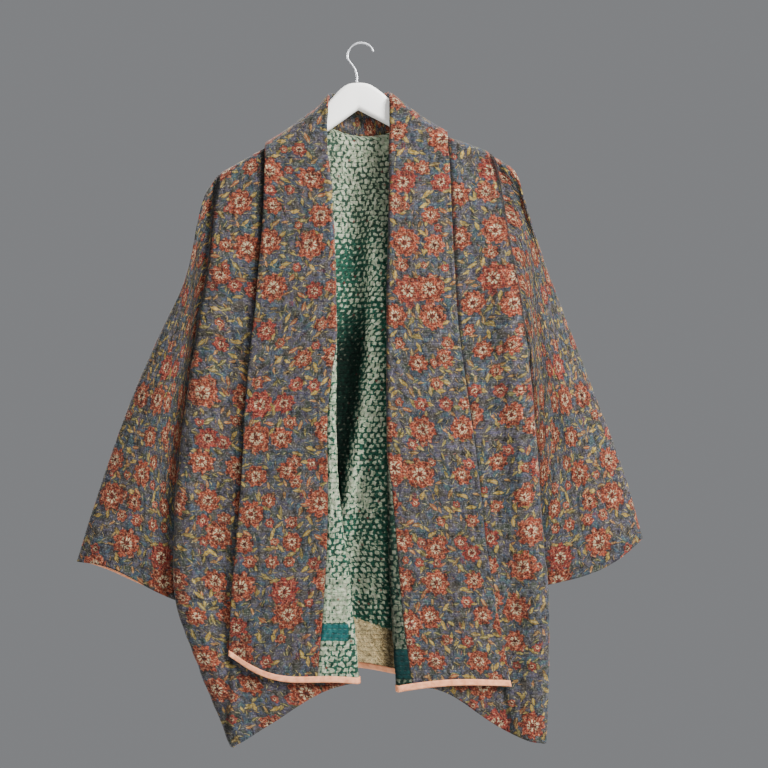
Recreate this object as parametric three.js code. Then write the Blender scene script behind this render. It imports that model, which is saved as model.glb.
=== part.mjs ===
// A quilted kantha jacket on a plain white hanger, millimetres, +Z up.
// The origin is the inside top of the hook, where the hanger bears on a peg.
// The front faces -Y. "right" and "left" in names are the wearer's own.
import * as THREE from 'three';

// Driving dimensions of the cloth
const cloth = 2.6; // thickness of the quilted layers
const quilt = 0.45; // how far a quilted row stands out
const seam = 0.3; // gap between two pieces at a seam
const tape = 1.0; // thickness of the hem facing
const tapeWidth = 9.5; // height of the hem facing

// Driving dimensions of the hanger
const board = 16; // thickness of the hanger
const armHeight = 43; // height of an arm beside the neck
const tipHeight = 28; // height of an arm at its tip
const wire = 3.2; // diameter of the hook
const hookRadius = 20; // middle of the wire, round the peg
const stemFoot = { x: -6, z: -57.8 };

// How the cloth lies over the arm and turns at its folds
const clear = 2.2; // air between hanger and cloth
const saddle = board / 2 + clear + cloth / 2; // radius of the cloth over an arm
const sideFold = 6; // radius of the fold down each side of the front
const lapelGap = 8; // height of the lapel's outer edge over the front
const underarm = 0.37; // row at which the armhole has closed
const armholeEnd = 0.35; // last row that the sleeve is sewn to
const sleeveStep = 5; // the sleeve lies this much further back than the fold
const underarmGap = 5.5; // wider gap below the arm, where three pieces meet
const backInset = 26; // the flat part of the back ends this far in from each side
const backCorner = 13; // radius at which the back turns forward to the side seam
const turnDone = 0.8; // share of that turn after which the cloth runs straight forward

// The hanger's lower edge near the neck, a chevron of two straight lines
const chevron = [{ at: -54, low: -134 }, { at: -4.5, low: -99 }, { at: 43.5, low: -124 }];

// Top edge of the hanger, from the wearer's right arm to the left: place and height
const armTop = [
  { at: -206, top: -196 }, { at: -158, top: -169 }, { at: -124, top: -149 }, { at: -90, top: -124.5 },
  { at: -61, top: -101 }, { at: -46, top: -84 }, { at: -24, top: -63 }, { at: -5, top: -58.5 },
  { at: 15, top: -62 }, { at: 42, top: -82 }, { at: 60, top: -97 }, { at: 94, top: -122 },
  { at: 130, top: -144 }, { at: 160, top: -154.5 }, { at: 188, top: -165.5 },
];

// One row for each level of a front, v from the shoulder seam to the hem.
// out and down: the side fold, the roll of the collar and the outer edge of the lapel.
// turn: how far the collar seam lies past the roll, less than 0 where it is hidden below.
// bend: radius of the roll.
const frontRight = [
  { v: 0, side: 216, sideZ: -199, roll: 48, rollZ: -82, lapel: 142, lapelZ: -159, turn: -21, bend: 2.8 },
  { v: 0.04, side: 219.5, sideZ: -245, roll: 51, rollZ: -136, lapel: 143, lapelZ: -197, turn: -27, bend: 4 },
  { v: 0.14, side: 226.6, sideZ: -329, roll: 44, rollZ: -225, lapel: 145.4, lapelZ: -274, turn: -37, bend: 5 },
  { v: 0.23, side: 238.4, sideZ: -403, roll: 39, rollZ: -302, lapel: 151, lapelZ: -340, turn: -26, bend: 5 },
  { v: 0.32, side: 250.3, sideZ: -479, roll: 36.6, rollZ: -378, lapel: 157, lapelZ: -408, turn: -14, bend: 5 },
  { v: 0.41, side: 260.7, sideZ: -554, roll: 36.2, rollZ: -453, lapel: 164.4, lapelZ: -473, turn: 3, bend: 5 },
  { v: 0.53, side: 272.6, sideZ: -654, roll: 37, rollZ: -554, lapel: 171.7, lapelZ: -563, turn: 14, bend: 5 },
  { v: 0.645, side: 275.5, sideZ: -750, roll: 33.7, rollZ: -651, lapel: 175.4, lapelZ: -647, turn: 17, bend: 5 },
  { v: 0.74, side: 274, sideZ: -829, roll: 25.6, rollZ: -731, lapel: 181.2, lapelZ: -718, turn: 26, bend: 5 },
  { v: 0.87, side: 235.5, sideZ: -937, roll: 12.4, rollZ: -840, lapel: 189.3, lapelZ: -814, turn: 45, bend: 5 },
  { v: 1, side: 191.7, sideZ: -1045, roll: 2.2, rollZ: -950, lapel: 194.4, lapelZ: -910, turn: 65, bend: 5 },
];
const frontLeft = [
  { v: 0, side: 197.5, sideZ: -170, roll: 43.4, rollZ: -82, lapel: 128.3, lapelZ: -142, turn: -37, bend: 2.8 },
  { v: 0.04, side: 207.3, sideZ: -213, roll: 43.4, rollZ: -134, lapel: 132, lapelZ: -189, turn: -43, bend: 4 },
  { v: 0.14, side: 222.1, sideZ: -301, roll: 42.3, rollZ: -223, lapel: 135.4, lapelZ: -271, turn: -48, bend: 5 },
  { v: 0.23, side: 237, sideZ: -378, roll: 41.1, rollZ: -300, lapel: 139.1, lapelZ: -343, turn: -42, bend: 5 },
  { v: 0.32, side: 246.6, sideZ: -455, roll: 39.3, rollZ: -378, lapel: 143.5, lapelZ: -415, turn: -33, bend: 5 },
  { v: 0.41, side: 254, sideZ: -532, roll: 39.6, rollZ: -455, lapel: 152.2, lapelZ: -486, turn: -20, bend: 5 },
  { v: 0.53, side: 262.9, sideZ: -636, roll: 39.6, rollZ: -558, lapel: 166.1, lapelZ: -582, turn: -6, bend: 5 },
  { v: 0.645, side: 269.6, sideZ: -734, roll: 40.4, rollZ: -657, lapel: 177.1, lapelZ: -673, turn: 8, bend: 5 },
  { v: 0.74, side: 277, sideZ: -816, roll: 41.8, rollZ: -739, lapel: 185.1, lapelZ: -748, turn: 14, bend: 5 },
  { v: 0.87, side: 277, sideZ: -928, roll: 46.2, rollZ: -850, lapel: 202.7, lapelZ: -852, turn: 19, bend: 5 },
  { v: 1, side: 274.1, sideZ: -1040, roll: 54.2, rollZ: -962, lapel: 222.4, lapelZ: -955, turn: 26, bend: 5 },
];

// How each hem curves: the front's between the roll and the side, the lapel's from the roll out
const hemRight = { bow: 9, skew: 5, lapelBow: -18, lapelSkew: 5 };
const hemLeft = { bow: 12, skew: 13, lapelBow: 6, lapelSkew: 0 };

// The side of the body from the front's edge inwards: in is towards the middle, back is depth
const sidePath = [
  { in: 6, back: 0 }, { in: 2.8, back: 0.9 }, { in: 0.8, back: 3 }, { in: 0, back: 6 }, { in: 1, back: 9.4 },
  { in: 4.4, back: 12.2 }, { in: 8.4, back: 15 }, { in: 10.6, back: 19 }, { in: 11, back: 24 },
];
// How much of that path belongs to the front, level by level
const hookLength = [
  { v: 0, length: 4.2 }, { v: 0.05, length: 10.6 }, { v: 0.3, length: 10.6 }, { v: 0.37, length: 33 },
  { v: 1, length: 33 },
];

// Outer edge of each sleeve below the shoulder, and its cuff
const sleeveRight = {
  edge: [
    { out: 232, z: -227 }, { out: 243, z: -268 }, { out: 251, z: -309 }, { out: 268, z: -365 },
    { out: 304, z: -439 }, { out: 351, z: -549 }, { out: 404, z: -702 }, { out: 427, z: -777 },
  ],
  cuff: { level: 0.752, inset: 6, bow: 10, skew: 4, lip: 12 },
};
const sleeveLeft = {
  edge: [
    { out: 228, z: -191 }, { out: 240, z: -222 }, { out: 252, z: -260 }, { out: 276, z: -330 },
    { out: 306, z: -408 }, { out: 344, z: -508 }, { out: 394, z: -641 }, { out: 423, z: -742 },
  ],
  cuff: { level: 0.737, inset: 6, bow: -14, skew: -2, lip: 0 },
};
const sleeveDepth = { middle: 9, half: 17 };

// Neck and hem of the back
const neck = { right: -69, left: 80, dip: 29, top: -75 };
const neckShares = [0.008, 0.03, 0.12, 0.35, 0.65, 0.88, 0.97, 0.992];
const backHem = { z: -941, peak: 0.36, sharp: 1.6 };
const collarFall = -157; // lowest part of the collar behind the neck

// Soft folds down the back: at the shoulder and the hem, width, height away from the front, start
const backFolds = [
  { top: 12, hem: 24, width: 17, height: -13, from: 60 },
  { top: -14, hem: -16, width: 16, height: 12, from: 60 },
  { top: -72, hem: -88, width: 30, height: 15, from: 100 },
  { top: -128, hem: -156, width: 24, height: -7, from: 180 },
  { top: -165, hem: -200, width: 20, height: 9, from: 260 },
  { top: 74, hem: 88, width: 28, height: 17, from: 80 },
  { top: 128, hem: 160, width: 26, height: -8, from: 200 },
  { top: 160, hem: 215, width: 24, height: 10, from: 320 },
];
// Soft folds down each front, measured in from the side fold
const frontFolds = [
  { in: 22, width: 18, height: 7, from: 60 },
  { in: 62, width: 20, height: -4, from: 120 },
];

// Rows of the mesh: levels of the body, points in a row, rings of a sleeve
const saddleRows = 4;
const armholeRows = 9;
const bodyRows = 15;
const frontPoints = 14;
const lapelPoints = 8;
const neckRows = 14;
const wrapPoints = 4;
const shoulderPoints = 4;
const sleeveSpans = 14;
const turnWeight = 18; // millimetres that one radian of a bend counts for

const lerp = (a, b, f) => a + (b - a) * f;
const clamp = (f) => Math.min(1, Math.max(0, f));
const smooth = (f) => clamp(f) ** 2 * (3 - 2 * clamp(f));
const point = (x, y, z) => new THREE.Vector3(x, y, z);

// Smooth reading of one column of a table at a key, as a cubic through its rows
function read(table, key, column, at) {
  const last = table.length - 1;
  let i = 0;
  while (i < last - 1 && at > table[i + 1][key]) {
    i += 1;
  }
  const slope = (k) => {
    const a = table[Math.max(0, k - 1)];
    const b = table[Math.min(last, k + 1)];
    return (b[column] - a[column]) / (b[key] - a[key]);
  };
  const span = table[i + 1][key] - table[i][key];
  const f = clamp((at - table[i][key]) / span);
  const rise = f * f * (3 - 2 * f);
  return lerp(table[i][column], table[i + 1][column], rise)
    + span * (f * (1 - f) ** 2 * slope(i) - f * f * (1 - f) * slope(i + 1));
}

// Straight reading of one column of a table
function readStraight(table, key, column, at) {
  let i = 0;
  while (i < table.length - 2 && at > table[i + 1][key]) {
    i += 1;
  }
  const f = clamp((at - table[i][key]) / (table[i + 1][key] - table[i][key]));
  return lerp(table[i][column], table[i + 1][column], f);
}

// Height of the middle of the cloth on the ridge of the hanger, running on past its tips
function ridge(x) {
  const first = armTop[0];
  const last = armTop[armTop.length - 1];
  const run = Math.max(0, first.at - x) * 0.6 + Math.max(0, x - last.at) * 0.5;
  const inside = Math.min(last.at, Math.max(first.at, x));
  return read(armTop, 'at', 'top', inside) - run + clear + cloth / 2;
}

// How far out the side fold of a front is at a height
function sideAt(table, z) {
  const sides = table.map((row) => ({ down: -row.sideZ, side: row.side }));
  return read(sides, 'down', 'side', -z);
}

// Depth of a front beyond the saddle at a place, and of the back
const frontSwell = (table) => (x, z, drop) => {
  const inward = sideAt(table, z) - Math.abs(x);
  let depth = 9 * smooth(drop / 220) + 8 * smooth((drop - 200) / 500);
  for (const fold of frontFolds) {
    const across = Math.exp(-(((inward - fold.in) / fold.width) ** 2));
    depth += fold.height * across * smooth((drop - fold.from) / 200);
  }
  return depth;
};
function backSwell(x, z, drop) {
  let depth = 8 * smooth(drop / 200) + 10 * smooth((drop - 150) / 500);
  for (const fold of backFolds) {
    const middle = lerp(fold.top, fold.hem, clamp(drop / 900));
    const across = Math.exp(-(((x - middle) / fold.width) ** 2));
    depth += fold.height * across * smooth((drop - fold.from) / 200);
  }
  return depth;
}

// A point of cloth at x and z, lying round the saddle of the arm and then hanging.
// face is -1 in front and 1 behind, lift moves it away from the hanger.
function lay(face, x, z, swell, lift) {
  const drop = Math.max(0, ridge(x) - z);
  const up = Math.max(0, 1 - drop / saddle);
  const away = Math.sqrt(1 - up * up);
  const depth = saddle * away + (drop > 0 ? swell(x, z, drop) : 0);
  return point(x, face * (depth + away * lift + seam / 2), z + up * lift);
}

// Height of a row of cloth at a share of its way from one table column to another,
// bent near the shoulder so that the first row follows the ridge
function level(table, sign, v, f, near, far) {
  const at = (column, w) => read(table, 'v', column, w);
  const straight = (w) => lerp(at(near + 'Z', w), at(far + 'Z', w), f);
  const first = ridge(sign * lerp(at(near, 0), at(far, 0), f));
  return straight(v) + (first - straight(0)) * (1 - smooth(v / 0.3));
}

// One row of a front, as many close points: side, front, roll, lapel
function frontRow(table, sign, hem, v) {
  const at = (column) => read(table, 'v', column, v);
  const side = at('side');
  const roll = at('roll');
  const lapel = at('lapel');
  const bend = at('bend');
  const swell = frontSwell(table);
  const sideZ = level(table, sign, v, 1, 'roll', 'side');
  const rollZ = level(table, sign, v, 0, 'roll', 'side');
  const row = [];
  for (const step of hook(v)) {
    row.push(lay(-1, sign * (side - step.x), sideZ, swell, -step.y));
  }
  const hooked = row.length - 1;
  const steps = 40;
  for (let k = 1; k <= steps; k += 1) {
    const out = lerp(side - sideFold, roll + bend, k / steps);
    const f = (out - roll) / (side - roll);
    const curve = hem.bow * Math.sin(Math.PI * f) + hem.skew * Math.sin(2 * Math.PI * f);
    const z = level(table, sign, v, f, 'roll', 'side') + curve * smooth((v - 0.7) / 0.3);
    row.push(lay(-1, sign * out, z, swell, 0));
  }
  const arc = 12;
  for (let k = 1; k < arc; k += 1) {
    const turn = (Math.PI * k) / arc;
    const out = roll + bend - bend * Math.sin(turn);
    row.push(lay(-1, sign * out, rollZ, swell, bend * (1 - Math.cos(turn))));
  }
  const apex = hooked + steps + arc / 2;
  for (let k = 0; k <= steps; k += 1) {
    const out = lerp(roll + bend, lapel, k / steps);
    const f = (out - roll) / (lapel - roll);
    const curve = hem.lapelBow * Math.sin(Math.PI * f) + hem.lapelSkew * Math.sin(2 * Math.PI * f);
    const z = level(table, sign, v, f, 'roll', 'lapel') + curve * smooth((v - 0.7) / 0.3);
    row.push(lay(-1, sign * out, z, swell, lerp(2 * bend, lapelGap, f)));
  }
  return { row, apex };
}

// The part of the side path that belongs to the front, from its end out to the face
function hook(v) {
  const path = new THREE.SplineCurve(sidePath.map((p) => new THREE.Vector2(p.in, p.back)));
  const share = Math.min(1, readStraight(hookLength, 'v', 'length', v) / path.getLength());
  const steps = 16;
  return Array.from({ length: steps + 1 }, (_, k) => path.getPointAt(share * (1 - k / steps)));
}

// Running length along close points
function lengths(row) {
  const sum = [0];
  for (let i = 1; i < row.length; i += 1) {
    sum.push(sum[i - 1] + row[i].distanceTo(row[i - 1]));
  }
  return sum;
}

// Point at a running length
function along(row, sum, length) {
  let i = 0;
  while (i < row.length - 2 && length > sum[i + 1]) {
    i += 1;
  }
  const f = (length - sum[i]) / (sum[i + 1] - sum[i]);
  return row[i].clone().lerp(row[i + 1], f);
}

// A stretch of close points as count spans, closer together where the row bends
function spread(row, from, to, count) {
  const sum = lengths(row);
  const inner = row.filter((_, i) => sum[i] > from + 0.01 && sum[i] < to - 0.01);
  const part = [along(row, sum, from), ...inner, along(row, sum, to)];
  const weight = [0];
  for (let i = 1; i < part.length; i += 1) {
    const step = part[i].clone().sub(part[i - 1]);
    const next = part[Math.min(i + 1, part.length - 1)].clone().sub(part[i]);
    const bend = next.length() > 0.001 ? step.angleTo(next) : 0;
    weight.push(weight[i - 1] + step.length() + turnWeight * bend);
  }
  const total = weight[weight.length - 1];
  return Array.from({ length: count + 1 }, (_, k) => along(part, weight, (total * k) / count));
}

// Levels of the body: close together over the saddle, then even, with one at the facing's top edge
const saddleEnd = 0.009;
const saddleShare = (k) => 1 - Math.cos((Math.PI / 2) * (k / saddleRows));
const levels = [];
for (let k = 0; k < saddleRows; k += 1) {
  levels.push(saddleEnd * saddleShare(k));
}
for (let k = 0; k <= armholeRows; k += 1) {
  levels.push(lerp(saddleEnd, armholeEnd, (k / armholeRows) ** 1.15));
}
const facingLevel = 1 - tapeWidth / 850;
for (let k = 0; k <= bodyRows; k += 1) {
  levels.push(lerp(underarm, facingLevel, k / bodyRows));
}
levels.push(1);

// Rows of a front and of its lapel, parted at the collar seam
function frontPieces(table, sign, hem) {
  const front = [];
  const band = [];
  const ways = [];
  for (const v of levels) {
    const { row, apex } = frontRow(table, sign, hem, v);
    const sum = lengths(row);
    const split = sum[apex] + read(table, 'v', 'turn', v);
    front.push(spread(row, 0, split - seam / 2, frontPoints));
    band.push(spread(row, split + seam / 2, sum[sum.length - 1], lapelPoints));
    ways.push(along(row, sum, split + 0.7).sub(along(row, sum, split - 0.7)));
  }
  return { front, band, ways };
}

// Upper edge of the back: the ridge, and the neckline between the two collar seams
function backTop(x) {
  if (x <= neck.right || x >= neck.left) {
    return ridge(x);
  }
  const f = (x - neck.right) / (neck.left - neck.right);
  return lerp(ridge(neck.right), ridge(neck.left), f) - neck.dip * (4 * f * (1 - f)) ** 0.8;
}

// One row of the back from the wearer's right side to the left, as mesh points
function backRow(v) {
  const sides = [[frontRight, -1], [frontLeft, 1]].map(([table, sign]) => {
    const at = (column, w) => read(table, 'v', column, w);
    const z = level(table, sign, v, 1, 'roll', 'side');
    const share = (at('sideZ', 0) - at('sideZ', v)) / (at('sideZ', 0) - at('sideZ', 1));
    return { sign, table, side: at('side', v), z, share };
  });
  const [right, left] = sides;
  const firstRight = -frontRight[0].side + backInset;
  const firstLeft = frontLeft[0].side - backInset;
  const flat = (x, f) => {
    const share = lerp(right.share, left.share, f);
    const reach = f < backHem.peak ? backHem.peak : 1 - backHem.peak;
    const middle = (Math.abs(f - backHem.peak) / reach) ** backHem.sharp;
    const corner = lerp(frontRight.at(-1).sideZ, frontLeft.at(-1).sideZ, f);
    const hem = lerp(backHem.z, corner, middle);
    const firstX = lerp(firstRight, firstLeft, f);
    const z = lerp(backTop(firstX), hem, share);
    return lay(1, x, z, backSwell, 0);
  };
  const place = (x) => (x - firstRight) / (firstLeft - firstRight);
  const neckRight = place(neck.right);
  const neckLeft = place(neck.left);
  const shares = [];
  for (let k = 0; k < shoulderPoints; k += 1) {
    shares.push(lerp(0, neckRight, k / shoulderPoints));
  }
  for (const share of [0, ...neckShares]) {
    shares.push(lerp(neckRight, neckLeft, share));
  }
  for (let k = 0; k <= shoulderPoints; k += 1) {
    shares.push(lerp(neckLeft, 1, k / shoulderPoints));
  }
  const middle = shares.map((f) => flat(lerp(-right.side + backInset, left.side - backInset, f), f));
  const first = middle[0];
  const last = middle[middle.length - 1];
  return [...wrap(right, v, first).reverse(), ...middle, ...wrap(left, v, last)];
}

// The side of the back: flat to the armhole seam, and round to the side seam below the underarm
function wrap(side, v, from) {
  const { sign } = side;
  const closed = smooth((v - underarm + 0.07) / 0.07);
  const open = { in: lerp(2.2, 15, smooth(v / 0.12)), back: lerp(1.4, 0, smooth(v / 0.03)) };
  const fold = lay(-1, sign * side.side, side.z, frontSwell(side.table), 0);
  const sideSeam = sidePath.at(-1);
  const face = lay(1, sign * (side.side - sideSeam.in), side.z, backSwell, 0);
  const depth = face.y - fold.y - sideSeam.back - seam;
  const points = [];
  for (let k = 1; k <= wrapPoints; k += 1) {
    const f = k / wrapPoints;
    const flatIn = lerp(backInset, open.in, f);
    const turn = Math.min(1, f / turnDone) * Math.PI / 2;
    const cornerIn = lerp(backInset - backCorner, sideSeam.in, Math.min(1, 2 * f));
    const roundIn = cornerIn + backCorner * (1 - Math.sin(turn));
    const roundBack = f < 1 ? Math.min(depth, backCorner) * (1 - Math.cos(turn)) : depth;
    const inward = lerp(flatIn, roundIn, closed);
    const forward = lerp(open.back * f * f, roundBack, closed);
    const z = lerp(from.z, side.z, smooth(f));
    const base = lay(1, sign * (side.side - inward), z, backSwell, 0);
    const drop = Math.max(0, ridge(base.x) - z);
    const up = Math.max(0, 1 - drop / saddle);
    base.z -= forward * up;
    base.y -= forward * Math.sqrt(1 - up * up);
    points.push(base);
  }
  return points;
}

// The collar behind the neck, from the right lapel's first row to the left one's.
// It stands up from the neckline, rolls over and falls down the back. Each point is
// given by its place across and its drop below the ridge.
function neckPiece(rightFirst, leftFirst, backFirst) {
  const start = backFirst.findIndex((p) => Math.abs(p.x - neck.right) < 0.5);
  const spans = neckShares.length + 1;
  const seamLine = backFirst.slice(start, start + spans + 1);
  const seamLength = lengths(seamLine);
  const topDrop = ridge(0) - neck.top;
  const profile = (w) => {
    const middle = Math.sin(Math.PI * w);
    const foot = along(seamLine, seamLength, w * seamLength[spans]);
    const across = lerp(w, smooth(w), 0.4);
    const topX = lerp(-frontRight[0].roll, frontLeft[0].roll, across);
    const edgeX = lerp(-frontRight[0].lapel, frontLeft[0].lapel, across);
    const shoulder = lerp(ridge(-frontRight[0].lapel), ridge(frontLeft[0].lapel), across);
    const edgeZ = lerp(shoulder, collarFall, middle) - 14 * Math.sin(2 * Math.PI * w) ** 2;
    const bend = lerp(2.8, 4.5, middle);
    const drops = {
      foot: Math.max(0, ridge(foot.x) - foot.z - seam),
      top: topDrop * middle ** 2,
      edge: Math.max(0, ridge(edgeX) - edgeZ),
    };
    const row = [];
    const stand = (x, z, drop) => backSwell(x, z, drop) + smooth(drop / 20);
    const put = (x, drop, lift) => row.push(lay(1, x, ridge(x) - drop, stand, lift));
    const rise = 12;
    const inward = new THREE.Vector2(topX - foot.x, drops.foot - drops.top).normalize();
    const under = { x: topX - inward.x * bend, drop: drops.top + inward.y * bend };
    for (let k = 0; k <= rise; k += 1) {
      put(lerp(foot.x, under.x, k / rise), lerp(drops.foot, under.drop, k / rise), 0);
    }
    for (let k = 1; k < rise; k += 1) {
      const turn = (Math.PI * k) / rise;
      const reach = bend * Math.sin(turn);
      put(under.x + inward.x * reach, under.drop - inward.y * reach, bend * (1 - Math.cos(turn)));
    }
    for (let k = 0; k <= rise; k += 1) {
      const f = k / rise;
      put(lerp(under.x, edgeX, f), lerp(under.drop, drops.edge, f), lerp(2 * bend, lapelGap, f));
    }
    const sum = lengths(row);
    return spread(row, 0, sum[sum.length - 1], lapelPoints);
  };
  const mirrored = (row) => row.map((p) => point(p.x, -p.y, p.z));
  const right = mirrored(rightFirst);
  const left = mirrored(leftFirst);
  const first = profile(0);
  const last = profile(1);
  const near = [0, 1, 2, 3, 4].map((k) => 0.09 * saddleShare(k));
  const inner = Array.from({ length: neckRows - 1 }, (_, k) => lerp(0.09, 0.91, (k + 1) / neckRows));
  const stops = [...near, ...inner, ...near.map((w) => 1 - w).reverse()];
  return stops.map((w) => {
    const nearRight = (1 - smooth(w / 0.3)) ** 2;
    const nearLeft = (1 - smooth((1 - w) / 0.3)) ** 2;
    return profile(w).map((p, j) => p
      .add(right[j].clone().sub(first[j]).multiplyScalar(nearRight))
      .add(left[j].clone().sub(last[j]).multiplyScalar(nearLeft)));
  });
}

// A sleeve: rings from the armhole to the cuff, each front and back, sewn edge to edge
function sleeveRings(sign, table, shape, frontEdge, backEdge) {
  const count = frontEdge.length - 1;
  const height = (k) => frontEdge[0].end.z - frontEdge[k].end.z;
  const shares = frontEdge.map((_, k) => height(k) / height(count));
  const start = frontEdge[0].end.clone().add(backEdge[0].end).multiplyScalar(0.5);
  const topCurve = new THREE.CatmullRomCurve3(
    [start, ...shape.edge.map((e) => point(sign * e.out, 0, e.z))], false, 'centripetal');
  const topLength = topCurve.getLength();
  const underAt = (s) => {
    const v = lerp(armholeEnd, shape.cuff.level, s);
    const side = read(table, 'v', 'side', v);
    return point(sign * (side - lerp(2, shape.cuff.inset, s)), 0, read(table, 'v', 'sideZ', v));
  };
  const stops = [0, 4, 9, 15];
  for (let k = 1; k <= sleeveSpans; k += 1) {
    stops.push(lerp(15, topLength - tapeWidth, k / sleeveSpans));
  }
  stops.push(topLength);
  const blunt = (h) => (1 - Math.abs(2 * h - 1) ** 2.6) ** (1 / 2.6);
  const flat0 = shares.map((h) => topCurve.getPointAt(0).lerp(underAt(0), h));
  const ring = (length) => {
    const s = length / topLength;
    const a = topCurve.getPointAt(s);
    const b = underAt(s);
    const settle = smooth(s / 0.45);
    const place = (k, edges, face) => {
      const h = shares[k];
      const edge = edges[k];
      const low = smooth((h - 0.72) / 0.25);
      const step = face < 0 ? sleeveStep * smooth(h / 0.12) : 0;
      const home = edge.end.clone().add(point(sign * Math.max(step, 7 * low), step, -4 * low));
      const here = a.clone().lerp(b, h);
      here.x += (home.x - flat0[k].x) * (1 - s) ** 2;
      here.z += (home.z - flat0[k].z) * (1 - s) ** 2;
      const bow = shape.cuff.bow * Math.sin(Math.PI * h) + shape.cuff.skew * Math.sin(2 * Math.PI * h);
      const lip = face > 0 ? shape.cuff.lip * Math.sin(Math.PI * clamp(h * 1.2)) : 0;
      here.z += (bow - lip) * smooth((s - 0.6) / 0.4);
      const crease = face < 0 ? 4 * Math.exp(-(((h - 0.38) / 0.13) ** 2)) * Math.sin(Math.PI * s) : 0;
      const cuffY = sleeveDepth.middle + face * (sleeveDepth.half * blunt(0.988 * h) + crease);
      here.y = lerp(home.y, cuffY, settle);
      const way = edge.way.clone().lerp(point(sign * 0.8, 0, -0.6), low).normalize();
      const begin = edge.end.clone().addScaledVector(way, seam + underarmGap * low + length);
      return begin.lerp(here, smooth(length / 16));
    };
    const top = place(0, frontEdge, -1).add(place(0, backEdge, 1)).multiplyScalar(0.5);
    const front = Array.from({ length: count }, (_, k) => place(k + 1, frontEdge, -1));
    const behind = Array.from({ length: count }, (_, k) => place(count - k, backEdge, 1));
    return [top, ...front, ...behind];
  };
  return stops.map(ring);
}

// Where a row of cloth ends, and the way it is heading there
function edgesOf(rows, atStart) {
  return rows.map((row) => {
    const end = atStart ? row[0] : row[row.length - 1];
    const before = atStart ? row[1] : row[row.length - 2];
    return { end: end.clone(), way: end.clone().sub(before).normalize() };
  });
}

// Surface normals of a grid of points, by its neighbours down and across.
// ways gives the true direction along an edge that meets another piece.
function normals(rows, flip, ringed, ways) {
  return rows.map((row, i) => row.map((_, j) => {
    const size = row.length;
    const above = rows[Math.max(0, i - 1)][j];
    const below = rows[Math.min(rows.length - 1, i + 1)][j];
    const before = ringed ? row[(j + size - 1) % size] : row[Math.max(0, j - 1)];
    const after = ringed ? row[(j + 1) % size] : row[Math.min(size - 1, j + 1)];
    let down = below.clone().sub(above);
    let across = after.clone().sub(before);
    if (i === 0 && ways.top) {
      down = ways.top(j);
    }
    if (i === rows.length - 1 && ways.bottom) {
      down = ways.bottom(j);
    }
    if (j === 0 && ways.start) {
      across = ways.start(i);
    }
    if (j === size - 1 && ways.end) {
      across = ways.end(i);
    }
    return down.clone().cross(across).normalize().multiplyScalar(flip);
  }));
}

// A closed wall round a grid of points, from one offset to another along its normals.
// Every second row of the outer face stands out, as the quilting does.
function wall(rows, { flip, ringed = false, ways = {}, outer = cloth / 2, inner = -cloth / 2, raised = quilt }) {
  const normal = normals(rows, flip, ringed, ways);
  const size = rows[0].length;
  const positions = [];
  const offset = (amount) => rows.forEach((row, i) => row.forEach((p, j) => {
    const q = p.clone().addScaledVector(normal[i][j], amount(i));
    positions.push(q.x, q.y, q.z);
  }));
  offset((i) => outer + (i % 2 === 1 && i < rows.length - 1 ? raised : 0));
  offset(() => inner);
  const shell = rows.length * size;
  const faces = [];
  const quad = (a, b, c, d) => (flip > 0 ? faces.push(a, b, c, a, c, d) : faces.push(a, c, b, a, d, c));
  const spans = ringed ? size : size - 1;
  const id = (i, j) => i * size + (j % size);
  for (let i = 0; i < rows.length - 1; i += 1) {
    for (let j = 0; j < spans; j += 1) {
      quad(id(i, j), id(i + 1, j), id(i + 1, j + 1), id(i, j + 1));
      quad(shell + id(i, j), shell + id(i, j + 1), shell + id(i + 1, j + 1), shell + id(i + 1, j));
    }
    if (!ringed) {
      quad(id(i, 0), shell + id(i, 0), shell + id(i + 1, 0), id(i + 1, 0));
      quad(id(i, spans), id(i + 1, spans), shell + id(i + 1, spans), shell + id(i, spans));
    }
  }
  const end = rows.length - 1;
  for (let j = 0; j < spans; j += 1) {
    quad(id(0, j), id(0, j + 1), shell + id(0, j + 1), shell + id(0, j));
    quad(id(end, j), shell + id(end, j), shell + id(end, j + 1), id(end, j + 1));
  }
  const geometry = new THREE.BufferGeometry();
  geometry.setAttribute('position', new THREE.Float32BufferAttribute(positions, 3));
  geometry.setIndex(faces);
  geometry.computeVertexNormals();
  return geometry;
}

// The facing on the inside of a hem, made from the hem's own points, moved out
const facing = (rows, options) => wall(rows, {
  ...options, outer: -cloth / 2 - seam, inner: -cloth / 2 - seam - tape, raised: 0,
});

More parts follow.
